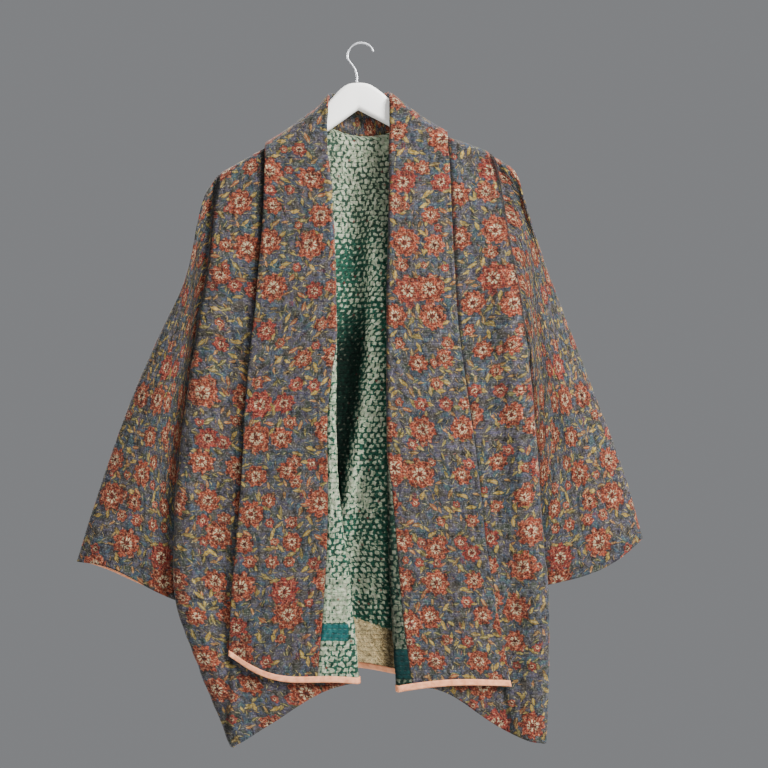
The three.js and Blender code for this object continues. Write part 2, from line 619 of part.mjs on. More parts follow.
// The hanger: rounded upright sections along its arms, joined and closed at the tips
function hangerBody() {
  const first = armTop[0].at;
  const last = armTop[armTop.length - 1].at;
  const tipRound = 8;
  const stations = [first, first + 2.5, first + tipRound];
  const spans = 23;
  for (let k = 1; k < spans; k += 1) {
    stations.push(lerp(first + tipRound, last - tipRound, k / spans));
  }
  stations.push(last - tipRound, last - 2.5, last, ...chevron.map((c) => c.at));
  stations.sort((a, b) => a - b);
  const sides = 10;
  const positions = [];
  for (const x of stations) {
    const tip = Math.min(x - first, last - x);
    const round = Math.sqrt(1 - (1 - clamp(tip / tipRound)) ** 2) * 0.8 + 0.2;
    const arm = lerp(armHeight, tipHeight, smooth((Math.abs(x) - 60) / 130));
    const top = read(armTop, 'at', 'top', x);
    const inside = x >= chevron[0].at && x <= chevron.at(-1).at;
    const height = inside ? top - readStraight(chevron, 'at', 'low', x) : arm;
    const middle = top - height / 2;
    const half = board / 2;
    for (let k = 0; k < sides; k += 1) {
      const turn = (2 * Math.PI * (k + 0.5)) / sides;
      const straight = Math.sign(Math.sin(turn)) * (height / 2 - half);
      positions.push(x, half * Math.cos(turn) * round, middle + (straight + half * Math.sin(turn)) * round);
    }
  }
  const faces = [];
  for (let i = 0; i < stations.length - 1; i += 1) {
    for (let k = 0; k < sides; k += 1) {
      const a = i * sides + k;
      const b = i * sides + ((k + 1) % sides);
      faces.push(a, b + sides, a + sides, a, b, b + sides);
    }
  }
  const end = (stations.length - 1) * sides;
  for (let k = 1; k < sides - 1; k += 1) {
    faces.push(0, k + 1, k);
    faces.push(end, end + k, end + k + 1);
  }
  const geometry = new THREE.BufferGeometry();
  geometry.setAttribute('position', new THREE.Float32BufferAttribute(positions, 3));
  geometry.setIndex(faces);
  geometry.computeVertexNormals();
  return geometry;
}

// The hook: a round wire over the peg and down into the stem
function hangerHook() {
  const middle = wire / 2 - hookRadius;
  const points = [];
  for (let degrees = 20; degrees <= 190; degrees += 17) {
    const turn = (degrees * Math.PI) / 180;
    points.push(point(hookRadius * Math.cos(turn), 0, middle + hookRadius * Math.sin(turn)));
  }
  points.push(point(-15.5, 0, -28.5), point(-9, 0, -38));
  points.push(point(stemFoot.x, 0, -48), point(stemFoot.x, 0, stemFoot.z));
  const section = new THREE.Shape();
  section.absarc(0, 0, wire / 2, 0, 2 * Math.PI);
  return new THREE.ExtrudeGeometry(section, {
    extrudePath: new THREE.CatmullRomCurve3(points), steps: 32, curveSegments: 4,
  });
}

// Colours and finishes
const printed = { color: '#6f625b', roughness: 0.92, metalness: 0 };
const peach = { color: '#dba184', roughness: 0.9, metalness: 0 };
const paint = { color: '#efece6', roughness: 0.35, metalness: 0 };
const steel = { color: '#b9bcc0', roughness: 0.25, metalness: 1 };

const jacket = new THREE.Group();
function add(name, geometry, finish) {
  const mesh = new THREE.Mesh(geometry, new THREE.MeshStandardMaterial(finish));
  mesh.name = name;
  jacket.add(mesh);
}

const right = frontPieces(frontRight, -1, hemRight);
const left = frontPieces(frontLeft, 1, hemLeft);
const back = levels.map(backRow);
const forward = point(0, -1, 0);
const rearward = point(0, 1, 0);
const isArmhole = (i) => levels[i] < underarm - 0.06;

// A front's edges: the shoulder seam, the side below the underarm, and the collar seam
const edgeWay = (rows, i, atStart) => {
  const row = rows[i];
  return atStart ? row[1].clone().sub(row[0]) : row[row.length - 1].clone().sub(row[row.length - 2]);
};
const frontWays = (piece) => ({
  top: () => forward,
  start: (i) => (isArmhole(i) ? edgeWay(piece.front, i, true) : forward),
  end: (i) => piece.ways[i],
});
const downBack = (p) => {
  const up = Math.max(0, 1 - Math.max(0, ridge(p.x) - p.z) / saddle);
  return point(0, up, -Math.sqrt(1 - up * up));
};
const backWays = {
  top: (j) => downBack(back[0][j]),
  start: (i) => (isArmhole(i) ? edgeWay(back, i, true) : rearward),
  end: (i) => (isArmhole(i) ? edgeWay(back, i, false) : forward),
};
const bandWays = (piece) => ({ top: () => forward, start: (i) => piece.ways[i] });

// The armhole's edges, without the short rows over the saddle
const armholeLevels = levels.filter((v) => v <= armholeEnd + 1e-9).length;
const sewn = (rows) => rows.slice(0, armholeLevels).filter((_, i) => i === 0 || i >= saddleRows);
const sleeves = {
  right: sleeveRings(-1, frontRight, sleeveRight, edgesOf(sewn(right.front), true), edgesOf(sewn(back), true)),
  left: sleeveRings(1, frontLeft, sleeveLeft, edgesOf(sewn(left.front), true), edgesOf(sewn(back), false)),
};
const neckBand = neckPiece(right.band[0], left.band[0], back[0]);

add('back', wall(back, { flip: -1, ways: backWays }), printed);
add('front_right', wall(right.front, { flip: 1, ways: frontWays(right) }), printed);
add('front_left', wall(left.front, { flip: -1, ways: frontWays(left) }), printed);
add('collar_right', wall(right.band, { flip: 1, ways: bandWays(right) }), printed);
add('collar_left', wall(left.band, { flip: -1, ways: bandWays(left) }), printed);
const neckWays = { top: () => rearward, bottom: () => forward };
add('collar_neck', wall(neckBand, { flip: 1, ways: neckWays }), printed);
add('sleeve_right', wall(sleeves.right, { flip: 1, ringed: true }), printed);
add('sleeve_left', wall(sleeves.left, { flip: -1, ringed: true }), printed);

const lastTwo = (rows) => rows.slice(-2);
const wholeHem = (piece) => lastTwo(piece.front).map((row, i) => [...row, ...lastTwo(piece.band)[i].slice(1)]);
add('facing_front_right', facing(wholeHem(right), { flip: 1, ways: { start: () => forward } }), peach);
add('facing_front_left', facing(wholeHem(left), { flip: -1, ways: { start: () => forward } }), peach);
const backFacingWays = { start: () => rearward, end: () => forward };
add('facing_back', facing(lastTwo(back), { flip: -1, ways: backFacingWays }), peach);
add('facing_cuff_right', facing(lastTwo(sleeves.right), { flip: 1, ringed: true }), peach);
add('facing_cuff_left', facing(lastTwo(sleeves.left), { flip: -1, ringed: true }), peach);
add('hanger_body', hangerBody(), paint);
add('hanger_hook', hangerHook(), steel);

export default jacket;
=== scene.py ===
"""Looks of a quilted kantha jacket on a plain white hanger.

Lengths are worked out in millimetres and put into the meshes in metres. The origin is the inside
top of the hook, +Z is up and the front faces -Y. Right and left are the wearer's own.
"""

import math
from types import SimpleNamespace

import bpy
import numpy as np
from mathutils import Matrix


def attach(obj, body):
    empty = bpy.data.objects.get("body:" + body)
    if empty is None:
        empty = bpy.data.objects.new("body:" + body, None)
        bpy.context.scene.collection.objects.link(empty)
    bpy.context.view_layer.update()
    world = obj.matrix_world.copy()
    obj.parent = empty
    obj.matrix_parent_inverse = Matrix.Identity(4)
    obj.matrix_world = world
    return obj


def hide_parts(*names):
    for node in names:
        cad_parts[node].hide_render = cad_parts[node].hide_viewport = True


bl_info = {
    "name": "Kantha Jacket",
    "version": (1, 0, 0),
    "blender": (4, 5, 0),
    "location": "View3D > Sidebar > Kantha Jacket",
    "description": "A quilted jacket with a rolled-back collar, hung on a hanger",
    "category": "Object",
}

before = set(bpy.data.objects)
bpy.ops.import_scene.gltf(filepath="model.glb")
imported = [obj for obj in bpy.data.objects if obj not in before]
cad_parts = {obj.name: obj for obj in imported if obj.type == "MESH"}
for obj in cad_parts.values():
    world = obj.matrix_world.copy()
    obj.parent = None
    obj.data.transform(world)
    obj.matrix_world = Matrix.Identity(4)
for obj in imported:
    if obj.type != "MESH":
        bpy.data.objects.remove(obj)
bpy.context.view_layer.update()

MM = 0.001
CLOTH = 2.6
SEAM = 0.3
TAPE = 1.0
TAPE_WIDTH = 9.5
BOARD = 16
ARM_HEIGHT = 43
TIP_HEIGHT = 28
WIRE = 3.2
HOOK_RADIUS = 20
HOOK_STEM = ((-15.5, -28.5), (-9, -38), (-6, -48), (-6, -57.8))
CLEAR = 2.2
SADDLE = BOARD / 2 + CLEAR + CLOTH / 2
SIDE_FOLD = 6
LAPEL_GAP = 8
UNDERARM = 0.37
SIDE_REACH = 3.1
ARMHOLE_END = 0.35
SLEEVE_STEP = 5
UNDERARM_GAP = 5.5
BACK_INSET = 26
BACK_CORNER = 13
TURN_DONE = 0.8
TURN_WEIGHT = 4.0
SLEEVE_INSET = 6
SLEEVE_SLANT = math.radians(16)
SLEEVE_HEAD = (60, 18)
LEFT_ROLL = 43
TIP_RUN = 8
FLOOR_HEIGHT = -1750
CAMERA_ACROSS, CAMERA_HEIGHT, CAMERA_LENS, CAMERA_SENSOR = 0.0345, -0.510, 56.25, 36.0
LIGHT_TARGET = (0.0, 0.0, -0.5)
LIGHTS = (
    ("key", (1.6, -1.5, 0.8), 1.0, 1.0), ("fill", (-0.3, -2.4, -0.3), 1.4, 0.12),
    ("top", (0.2, 0.6, 1.6), 1.6, 0.3), ("back", (-2.4, 2.0, 0.8), 1.6, 0.8),
)
HOOK_POINTS, FLAT_POINTS, TURN_POINTS = 25, 71, 24
BODY_RUN, FRONT_RUN, LAPEL_RUN, SHOULDER_RUN, NECKLINE_RUN, NECK_RUN = 880, 270, 165, 120, 150, 250
SLEEVE_RUN, SLEEVE_DEPTH, HEM_RUN, CUFF_SPANS, WRAP_SPANS = 590, 200, 440, 190, 14


def table(columns, *rows):
    """Rows of numbers under named columns, each column as an array."""
    return dict(zip(columns.split(), np.array(rows, float).T))


ARM = table(
    "at top",
    (-206, -196), (-158, -169), (-124, -149), (-90, -124.5), (-61, -101), (-46, -84), (-24, -63),
    (-5, -58.5), (15, -62), (42, -82), (60, -97), (94, -122), (130, -144), (160, -154.5),
    (188, -165.5),
)
FLOOR_RINGS = table("radius height", (1, 0), (1000, 0), (1900, 0), (2000, -6))
CHEVRON = table("at low", (-54, -134), (-4.5, -99), (43.5, -124))
FRONT_COLUMNS = "v side side_z roll roll_z lapel lapel_z turn bend"
FRONT_RIGHT = table(
    FRONT_COLUMNS,
    (0, 216, -199, 48, -82, 142, -159, -21, 2.8),
    (0.04, 219.5, -245, 51, -136, 143, -197, -27, 4),
    (0.14, 226.6, -329, 44, -225, 145.4, -274, -37, 5),
    (0.23, 238.4, -403, 39, -302, 151, -340, -26, 5),
    (0.32, 250.3, -479, 36.6, -378, 157, -408, -14, 5),
    (0.41, 260.7, -554, 36.2, -453, 164.4, -473, 3, 5),
    (0.53, 272.6, -654, 37, -554, 171.7, -563, 14, 5),
    (0.645, 275.5, -750, 33.7, -651, 175.4, -647, 17, 5),
    (0.74, 274, -829, 25.6, -731, 181.2, -718, 26, 5),
    (0.87, 235.5, -937, 12.4, -840, 189.3, -814, 45, 5),
    (1, 191.7, -1045, 2.2, -950, 194.4, -910, 65, 5),
)
FRONT_LEFT = table(
    FRONT_COLUMNS,
    (0, 197.5, -170, 43.4, -82, 128.3, -142, -37, 2.8),
    (0.04, 207.3, -213, 43.4, -134, 132, -189, -43, 4),
    (0.14, 222.1, -301, 42.3, -223, 135.4, -271, -48, 5),
    (0.23, 237, -378, 41.1, -300, 139.1, -343, -42, 5),
    (0.32, 246.6, -455, 39.3, -378, 143.5, -415, -33, 5),
    (0.41, 254, -532, 39.6, -455, 152.2, -486, -20, 5),
    (0.53, 262.9, -636, 39.6, -558, 166.1, -582, -6, 5),
    (0.645, 269.6, -734, 40.4, -657, 177.1, -673, 8, 5),
    (0.74, 277, -816, 41.8, -739, 185.1, -748, 14, 5),
    (0.87, 277, -928, 46.2, -850, 202.7, -852, 19, 5),
    (1, 274.1, -1040, 54.2, -962, 222.4, -955, 26, 5),
)
SIDE_PATH = table(
    "inward back",
    (6, 0), (2.8, 0.9), (0.8, 3), (0, 6), (1, 9.4), (4.4, 12.2), (8.4, 15), (10.6, 19), (11, 24),
)
SIDE_PATH["run"] = np.concatenate(
    [[0], np.cumsum(np.hypot(np.diff(SIDE_PATH["inward"]), np.diff(SIDE_PATH["back"])))]
)
FRONT_SHARE = table("v length", (0, 4.2), (0.05, 10.6), (0.3, 10.6), (0.37, 33), (1, 33))
SLEEVE_RIGHT = {
    "edge": table(
        "out z",
        (232, -227), (243, -268), (251, -309), (268, -365), (304, -439), (351, -549),
        (404, -702), (427, -777),
    ),
    "level": 0.752, "hem": (10, 4), "lip": 12,
}
SLEEVE_LEFT = {
    "edge": table(
        "out z",
        (228, -191), (240, -222), (252, -260), (276, -330), (306, -408), (344, -508),
        (394, -641), (423, -742),
    ),
    "level": 0.737, "hem": (-14, -2), "lip": 0,
}
SLEEVE_MIDDLE = 9
SLEEVE_HALF = 17
NECK_RIGHT, NECK_LEFT, NECK_DIP, NECK_TOP = -69, 80, 29, -75
BACK_HEM, BACK_PEAK, BACK_SHARP = -941, 0.36, 1.6
COLLAR_FALL = -157
CREST_TOP, CREST_LEAN, CREST_FOOT = 20, 54, 11
BACK_FOLDS = table(
    "top hem width height start",
    (-72, -120, 30, 15, 100), (-128, -156, 24, -7, 180), (-165, -200, 20, 9, 260),
    (74, 88, 28, 17, 80), (128, 160, 26, -8, 200), (160, 215, 24, 10, 320),
)
FRONT_FOLDS = table("inward width height start", (22, 18, 7, 60), (62, 20, -4, 120))
RIGHT = SimpleNamespace(
    name="right", sign=-1, flip=1, rows=FRONT_RIGHT, hem=(9, 5), lapel_hem=(-18, 5),
    sleeve=SLEEVE_RIGHT, shift=(12, 60), front_seed=5, collar_seed=11, sleeve_seed=19,
)
LEFT = SimpleNamespace(
    name="left", sign=1, flip=-1, rows=FRONT_LEFT, hem=(12, 13), lapel_hem=(6, 0),
    sleeve=SLEEVE_LEFT, shift=(55, 20), front_seed=7, collar_seed=13, sleeve_seed=23,
)
HANDS = (RIGHT, LEFT)


def lerp(a, b, f):
    """The value a share f of the way from a to b."""
    return a + (b - a) * f


def smooth(f):
    """An even ramp from 0 to 1 with level ends: three f squared less two f cubed."""
    f = np.clip(f, 0, 1)
    return f * f * (3 - 2 * f)


def bell(f):
    """1 at 0, falling away on both sides: e to the power of less f squared."""
    return np.exp(-(f * f))


def slow_start(count):
    """Values from 0 to 1, close together at the start."""
    return 1 - np.cos(np.linspace(0, math.pi / 2, count))


def slow_ends(count):
    """Values from 0 to 1, close together at both ends."""
    return 0.5 - np.cos(np.linspace(0, math.pi, count)) / 2


def unit(vectors):
    """Vectors brought to a length of 1."""
    return vectors / np.maximum(np.linalg.norm(vectors, axis=-1, keepdims=True), 1e-9)


def read(rows, key, column, at):
    """A cubic through a table's rows, whose slope at a row is that between its neighbours."""
    x = rows[key]
    y = rows[column]
    n = len(x)
    before = np.maximum(np.arange(n) - 1, 0)
    after = np.minimum(np.arange(n) + 1, n - 1)
    slope = (y[after] - y[before]) / (x[after] - x[before])
    i = np.searchsorted(x[1:-1], at)
    span = x[i + 1] - x[i]
    f = np.clip((at - x[i]) / span, 0, 1)
    bend = f * (1 - f) ** 2 * slope[i] - f * f * (1 - f) * slope[i + 1]
    return lerp(y[i], y[i + 1], f * f * (3 - 2 * f)) + span * bend


def ridge(x):
    """Height of the middle of the cloth along the hanger's top, falling away past its tips."""
    first, last = ARM["at"][0], ARM["at"][-1]
    run = np.maximum(0, first - x) * 0.6 + np.maximum(0, x - last) * 0.5
    return read(ARM, "at", "top", np.clip(x, first, last)) - run + CLEAR + CLOTH / 2


def front_swell(rows):
    """Depth of a front beyond the saddle: a soft belly and two folds beside the side edge."""
    sides = {"down": -rows["side_z"], "side": rows["side"]}

    def swell(x, z, drop):
        inward = read(sides, "down", "side", -z) - np.abs(x)
        depth = 9 * smooth(drop / 220) + 8 * smooth((drop - 200) / 500)
        for where, width, height, start in zip(*FRONT_FOLDS.values()):
            across = bell((inward - where) / width)
            depth = depth + height * across * smooth((drop - start) / 200)
        return depth

    return swell


def past_crest(x, drop):
    """How far a place is to the left of the crest of the back's main fold, which leans over to
    the right below the chest."""
    return x - CREST_TOP + CREST_LEAN * smooth((drop - 250) / 500) ** 2


def back_swell(x, z, drop):
    """Depth of the back beyond the saddle: a soft belly, the main fold with its steep right flank
    and the hollow beside it, and folds that run down to the hem."""
    depth = 8 * smooth(drop / 200) + 10 * smooth((drop - 150) / 500)
    past = past_crest(x, drop)
    fold = -14 * bell(past / np.where(past < 0, 10, 20))
    depth = depth + (fold + 13 * bell((past + 34) / 17)) * smooth((drop - 60) / 200)
    for top, hem, width, height, start in zip(*BACK_FOLDS.values()):
        middle = lerp(top, hem, np.clip(drop / 900, 0, 1))
        depth = depth + height * bell((x - middle) / width) * smooth((drop - start) / 200)
    return depth


def lay(face, x, z, swell, lift):
    """Cloth at a place and height. It lies round the saddle of the arm, depth the sine of an arc
    whose cosine is the height left, then hangs at the swell's depth. Lift moves it outwards."""
    x, z, lift = np.broadcast_arrays(x, z, lift)
    drop = np.maximum(0, ridge(x) - z)
    up = np.maximum(0, 1 - drop / SADDLE)
    away = np.sqrt(1 - up * up)
    depth = SADDLE * away + np.where(drop > 0, swell(x, z, drop), 0)
    return np.stack([x, face * (depth + away * lift + SEAM / 2), z + up * lift], -1)


def level(hand, v, f, near, far):
    """Height of a row of cloth a share f of the way between two columns of its table. Near the
    shoulder it bends to follow the ridge."""
    def column(end, w):
        return lerp(read(hand.rows, "v", near + end, w), read(hand.rows, "v", far + end, w), f)

    start = np.zeros_like(v)
    top = ridge(hand.sign * column("", start))
    return column("_z", v) + (top - column("_z", start)) * (1 - smooth(v / 0.3))


def dip(shape, f):
    """How far an edge strays from a straight line: a bow of half a wave and a skew of a whole."""
    return shape[0] * np.sin(np.pi * f) + shape[1] * np.sin(2 * np.pi * f)


def running(rows):
    """Running length along each row of points."""
    steps = np.linalg.norm(np.diff(rows, axis=1), axis=-1)
    return np.concatenate([np.zeros((len(rows), 1)), np.cumsum(steps, axis=1)], 1)


def pick(rows, key, at):
    """What each row holds where its rising key reaches the wanted values."""
    i = np.clip((key[:, None, :] <= at[:, :, None]).sum(-1) - 1, 0, key.shape[1] - 2)
    r = np.arange(len(rows))[:, None]
    f = (at - key[r, i]) / np.maximum(key[r, i + 1] - key[r, i], 1e-9)
    return lerp(rows[r, i], rows[r, i + 1], f[..., None])


def spread(rows, start, end, count):
    """Each row between two lengths as count spans. A span is shorter where the row bends: the
    key is the length plus a weight times the angle turned."""
    length = running(rows)
    step = np.diff(rows, axis=1)
    size = np.linalg.norm(step, axis=-1)
    way = unit(step)
    turned = np.arccos(np.clip((way[:, 1:] * way[:, :-1]).sum(-1), -1, 1))
    turned = np.concatenate([turned, turned[:, -1:]], 1)
    key = np.concatenate([np.zeros((len(rows), 1)), np.cumsum(size + TURN_WEIGHT * turned, 1)], 1)
    first = pick(key[..., None], length, start[:, None])[..., 0]
    last = pick(key[..., None], length, end[:, None])[..., 0]
    return pick(rows, key, lerp(first, last, np.linspace(0, 1, count + 1)[None, :]))


def body_levels():
    """Levels from the shoulder seam to the hem, close together over the saddle."""
    near = 0.009 * slow_start(9)
    return np.concatenate([near[:-1], np.linspace(0.009, 1, spans(BODY_RUN))])


def front_rows(hand, v):
    """A front as dense rows: its side path, the layer below, a half turn at the roll and the
    lapel, whose lift eases from two bends to the gap of its outer edge."""
    v = v[:, None]
    side, roll, lapel, bend = (read(hand.rows, "v", c, v) for c in ("side", "roll", "lapel", "bend"))
    swell = front_swell(hand.rows)
    low = smooth((v - 0.7) / 0.3)
    along = np.linspace(0, 1, FLAT_POINTS)[None, :]

    def put(out, z, lift):
        return lay(-1, hand.sign * out, z, swell, lift)

    length = np.minimum(np.interp(v, FRONT_SHARE["v"], FRONT_SHARE["length"]), SIDE_PATH["run"][-1])
    length = length * np.linspace(1, 0, HOOK_POINTS)[None, :]
    inward, back = (read(SIDE_PATH, "run", c, length) for c in ("inward", "back"))
    hooked = put(side - inward, level(hand, v, 1, "roll", "side"), -back)
    out = lerp(side - SIDE_FOLD, roll + bend, along[:, 1:])
    f = (out - roll) / (side - roll)
    under = put(out, level(hand, v, f, "roll", "side") + dip(hand.hem, f) * low, 0)
    turn = np.pi * np.arange(1, TURN_POINTS)[None, :] / TURN_POINTS
    out = roll + bend - bend * np.sin(turn)
    turned = put(out, level(hand, v, 0, "roll", "side"), bend * (1 - np.cos(turn)))
    out = lerp(roll + bend, lapel, along)
    f = (out - roll) / (lapel - roll)
    z = level(hand, v, f, "roll", "lapel") + dip(hand.lapel_hem, f) * low
    return np.concatenate([hooked, under, turned, put(out, z, lerp(2 * bend, LAPEL_GAP, f))], 1)


def front_pieces(hand):
    """The front and its lapel as grids, parted where the collar is sewn on, past the roll."""
    v = body_levels()
    dense = front_rows(hand, v)
    length = running(dense)
    apex = HOOK_POINTS + FLAT_POINTS - 1 + TURN_POINTS // 2 - 1
    split = length[:, apex] + read(hand.rows, "v", "turn", v)
    front = spread(dense, np.zeros(len(v)), split - SEAM / 2, spans(FRONT_RUN))
    return front, spread(dense, split + SEAM / 2, length[:, -1], spans(LAPEL_RUN))


def back_top(x):
    """Upper edge of the back: the ridge, with a dip for the neck between the collar seams."""
    f = np.clip((x - NECK_RIGHT) / (NECK_LEFT - NECK_RIGHT), 0, 1)
    neck = lerp(ridge(np.float64(NECK_RIGHT)), ridge(np.float64(NECK_LEFT)), f)
    inside = (x > NECK_RIGHT) & (x < NECK_LEFT)
    return np.where(inside, neck - NECK_DIP * (4 * f * (1 - f)) ** 0.8, ridge(x))


def back_side(hand, v):
    """Where the side of the body is at each level, its height and its share of the way down."""
    top, hem = hand.rows["side_z"][0], hand.rows["side_z"][-1]
    share = (top - read(hand.rows, "v", "side_z", v)) / (top - hem)
    return read(hand.rows, "v", "side", v), level(hand, v, 1, "roll", "side"), share


def back_wrap(hand, v, start, count):
    """The side of the back: flat to the armhole seam, and below it a quarter circle forward to
    the side seam."""
    side, side_z, _ = back_side(hand, v)
    closed = smooth((v - UNDERARM + 0.07) / 0.07)
    open_in = lerp(2.2, 15, smooth(v / 0.12))
    open_back = lerp(1.4, 0, smooth(v / 0.03))
    seam_in, seam_back = SIDE_PATH["inward"][-1], SIDE_PATH["back"][-1]
    fold = lay(-1, hand.sign * side, side_z, front_swell(hand.rows), 0)
    face = lay(1, hand.sign * (side - seam_in), side_z, back_swell, 0)
    depth = face[..., 1] - fold[..., 1] - seam_back - SEAM
    f = np.linspace(0, 1, count + 1)[None, 1:]
    turn = np.minimum(1, f / TURN_DONE) * math.pi / 2
    corner_in = lerp(BACK_INSET - BACK_CORNER, seam_in, np.minimum(1, 2 * f))
    round_in = corner_in + BACK_CORNER * (1 - np.sin(turn))
    turned = np.minimum(depth, BACK_CORNER) * (1 - np.cos(turn))
    straight = np.clip((f - TURN_DONE) / (1 - TURN_DONE), 0, 1)
    inward = lerp(lerp(BACK_INSET, open_in, f), round_in, closed)
    forward = lerp(open_back * f * f, lerp(turned, depth, straight), closed)
    z = lerp(start[..., 2], side_z, smooth(f))
    base = lay(1, hand.sign * (side - inward), z, back_swell, 0)
    up = np.maximum(0, 1 - np.maximum(0, ridge(base[..., 0]) - z) / SADDLE)
    base[..., 2] -= forward * up
    base[..., 1] -= forward * np.sqrt(1 - up * up)
    return base


def back_grid(v, shoulder, neck, wrap):
    """The back as a grid from the wearer's right side to the left. Its flat part runs between
    two insets, and each row's height is a share of the way from the top edge to the hem."""
    v = v[:, None]
    (right, _, right_share), (left, _, left_share) = (back_side(hand, v) for hand in HANDS)
    first_right = -FRONT_RIGHT["side"][0] + BACK_INSET
    first_left = FRONT_LEFT["side"][0] - BACK_INSET
    seams = (np.array([NECK_RIGHT, NECK_LEFT]) - first_right) / (first_left - first_right)
    inside = lerp(seams[0], seams[1], slow_ends(neck + 1))
    ends = np.linspace(0, seams[0], shoulder + 1), np.linspace(seams[1], 1, shoulder + 1)
    f = np.concatenate([ends[0][:-1], inside[:-1], ends[1]])[None, :]
    x = lerp(-right + BACK_INSET, left - BACK_INSET, f)
    corner = lerp(FRONT_RIGHT["side_z"][-1], FRONT_LEFT["side_z"][-1], f)
    reach = np.where(f < BACK_PEAK, BACK_PEAK, 1 - BACK_PEAK)
    hem = lerp(BACK_HEM, corner, (np.abs(f - BACK_PEAK) / reach) ** BACK_SHARP)
    top = back_top(lerp(first_right, first_left, f))
    z = lerp(top, hem, lerp(right_share, left_share, f))
    middle = lay(1, x, z, back_swell, 0)
    right, left = (back_wrap(hand, v, middle[:, [j]], wrap) for hand, j in zip(HANDS, (0, -1)))
    return np.concatenate([right[:, ::-1], middle, left], 1)


def dense_back(v):
    """The back at the mesh's own spacing."""
    return back_grid(v, spans(SHOULDER_RUN), spans(NECKLINE_RUN), WRAP_SPANS)


def neck_grid(right_first, left_first, count):
    """The collar behind the neck: it stands up from the neckline, turns over in a half circle
    and falls down the back. Both ends are blended into the lapels' first rows."""
    line_x = lerp(NECK_RIGHT, NECK_LEFT, slow_ends(400))
    line = lay(1, line_x, back_top(line_x), back_swell, 0)
    line_run = running(line[None])[0]
    near = 0.06 * slow_start(8)
    w = np.concatenate([near[:-1], np.linspace(0.06, 0.94, count - 14), 1 - near[-2::-1]])[:, None]
    foot = np.stack([np.interp(w[:, 0] * line_run[-1], line_run, line[:, k]) for k in range(3)], -1)
    foot_x = foot[:, :1]
    middle = np.sin(np.pi * w)
    across = lerp(w, smooth(w), 0.4)
    top_x = lerp(-FRONT_RIGHT["roll"][0], FRONT_LEFT["roll"][0], across)
    ends = (-FRONT_RIGHT["lapel"][0], FRONT_LEFT["lapel"][0])
    edge_x = lerp(ends[0], ends[1], across)
    shoulder = lerp(ridge(ends[0]), ridge(ends[1]), across)
    edge_z = lerp(shoulder, COLLAR_FALL, middle) - 14 * np.sin(2 * np.pi * w) ** 2
    bend = lerp(2.8, 4.5, middle)
    foot_drop = np.maximum(0, ridge(foot_x) - foot[:, 2:] - SEAM)
    top_drop = (ridge(0.0) - NECK_TOP) * middle**2
    edge_drop = np.maximum(0, ridge(edge_x) - edge_z)
    way = unit(np.stack([top_x - foot_x, foot_drop - top_drop], -1))
    under_x = top_x - way[..., 0] * bend
    under_drop = top_drop + way[..., 1] * bend

    def stand(x, z, drop):
        return back_swell(x, z, drop) + smooth(drop / 20)

    def put(x, drop, lift):
        return lay(1, x, ridge(x) - drop, stand, lift)

    k = np.linspace(0, 1, HOOK_POINTS)[None, :]
    turn = np.pi * np.arange(1, TURN_POINTS)[None, :] / TURN_POINTS
    reach = bend * np.sin(turn)
    dense = np.concatenate(
        [
            put(lerp(foot_x, under_x, k), lerp(foot_drop, under_drop, k), 0),
            put(under_x + way[..., 0] * reach, under_drop - way[..., 1] * reach, bend * (1 - np.cos(turn))),
            put(lerp(under_x, edge_x, k), lerp(under_drop, edge_drop, k), lerp(2 * bend, LAPEL_GAP, k)),
        ],
        1,
    )
    grid = spread(dense, np.zeros(len(w)), running(dense)[:, -1], len(right_first) - 1)
    flip = np.array([1, -1, 1])
    near_right = ((1 - smooth(w / 0.3)) ** 2)[..., None]
    near_left = ((1 - smooth((1 - w) / 0.3)) ** 2)[..., None]
    return (
        grid
        + (right_first * flip - grid[0])[None] * near_right
        + (left_first * flip - grid[-1])[None] * near_left
    )


def armhole_edges(v, hand):
    """The ends of the front's and the back's rows at the armhole, and the way they head."""
    front = front_rows(hand, v)
    back = back_grid(v, 6, 12, 8)[:, :: -hand.sign]
    ends = (front[:, 0], front[:, 6]), (back[:, 0], back[:, 3])
    return [(end, unit(end - inner)) for end, inner in ends]


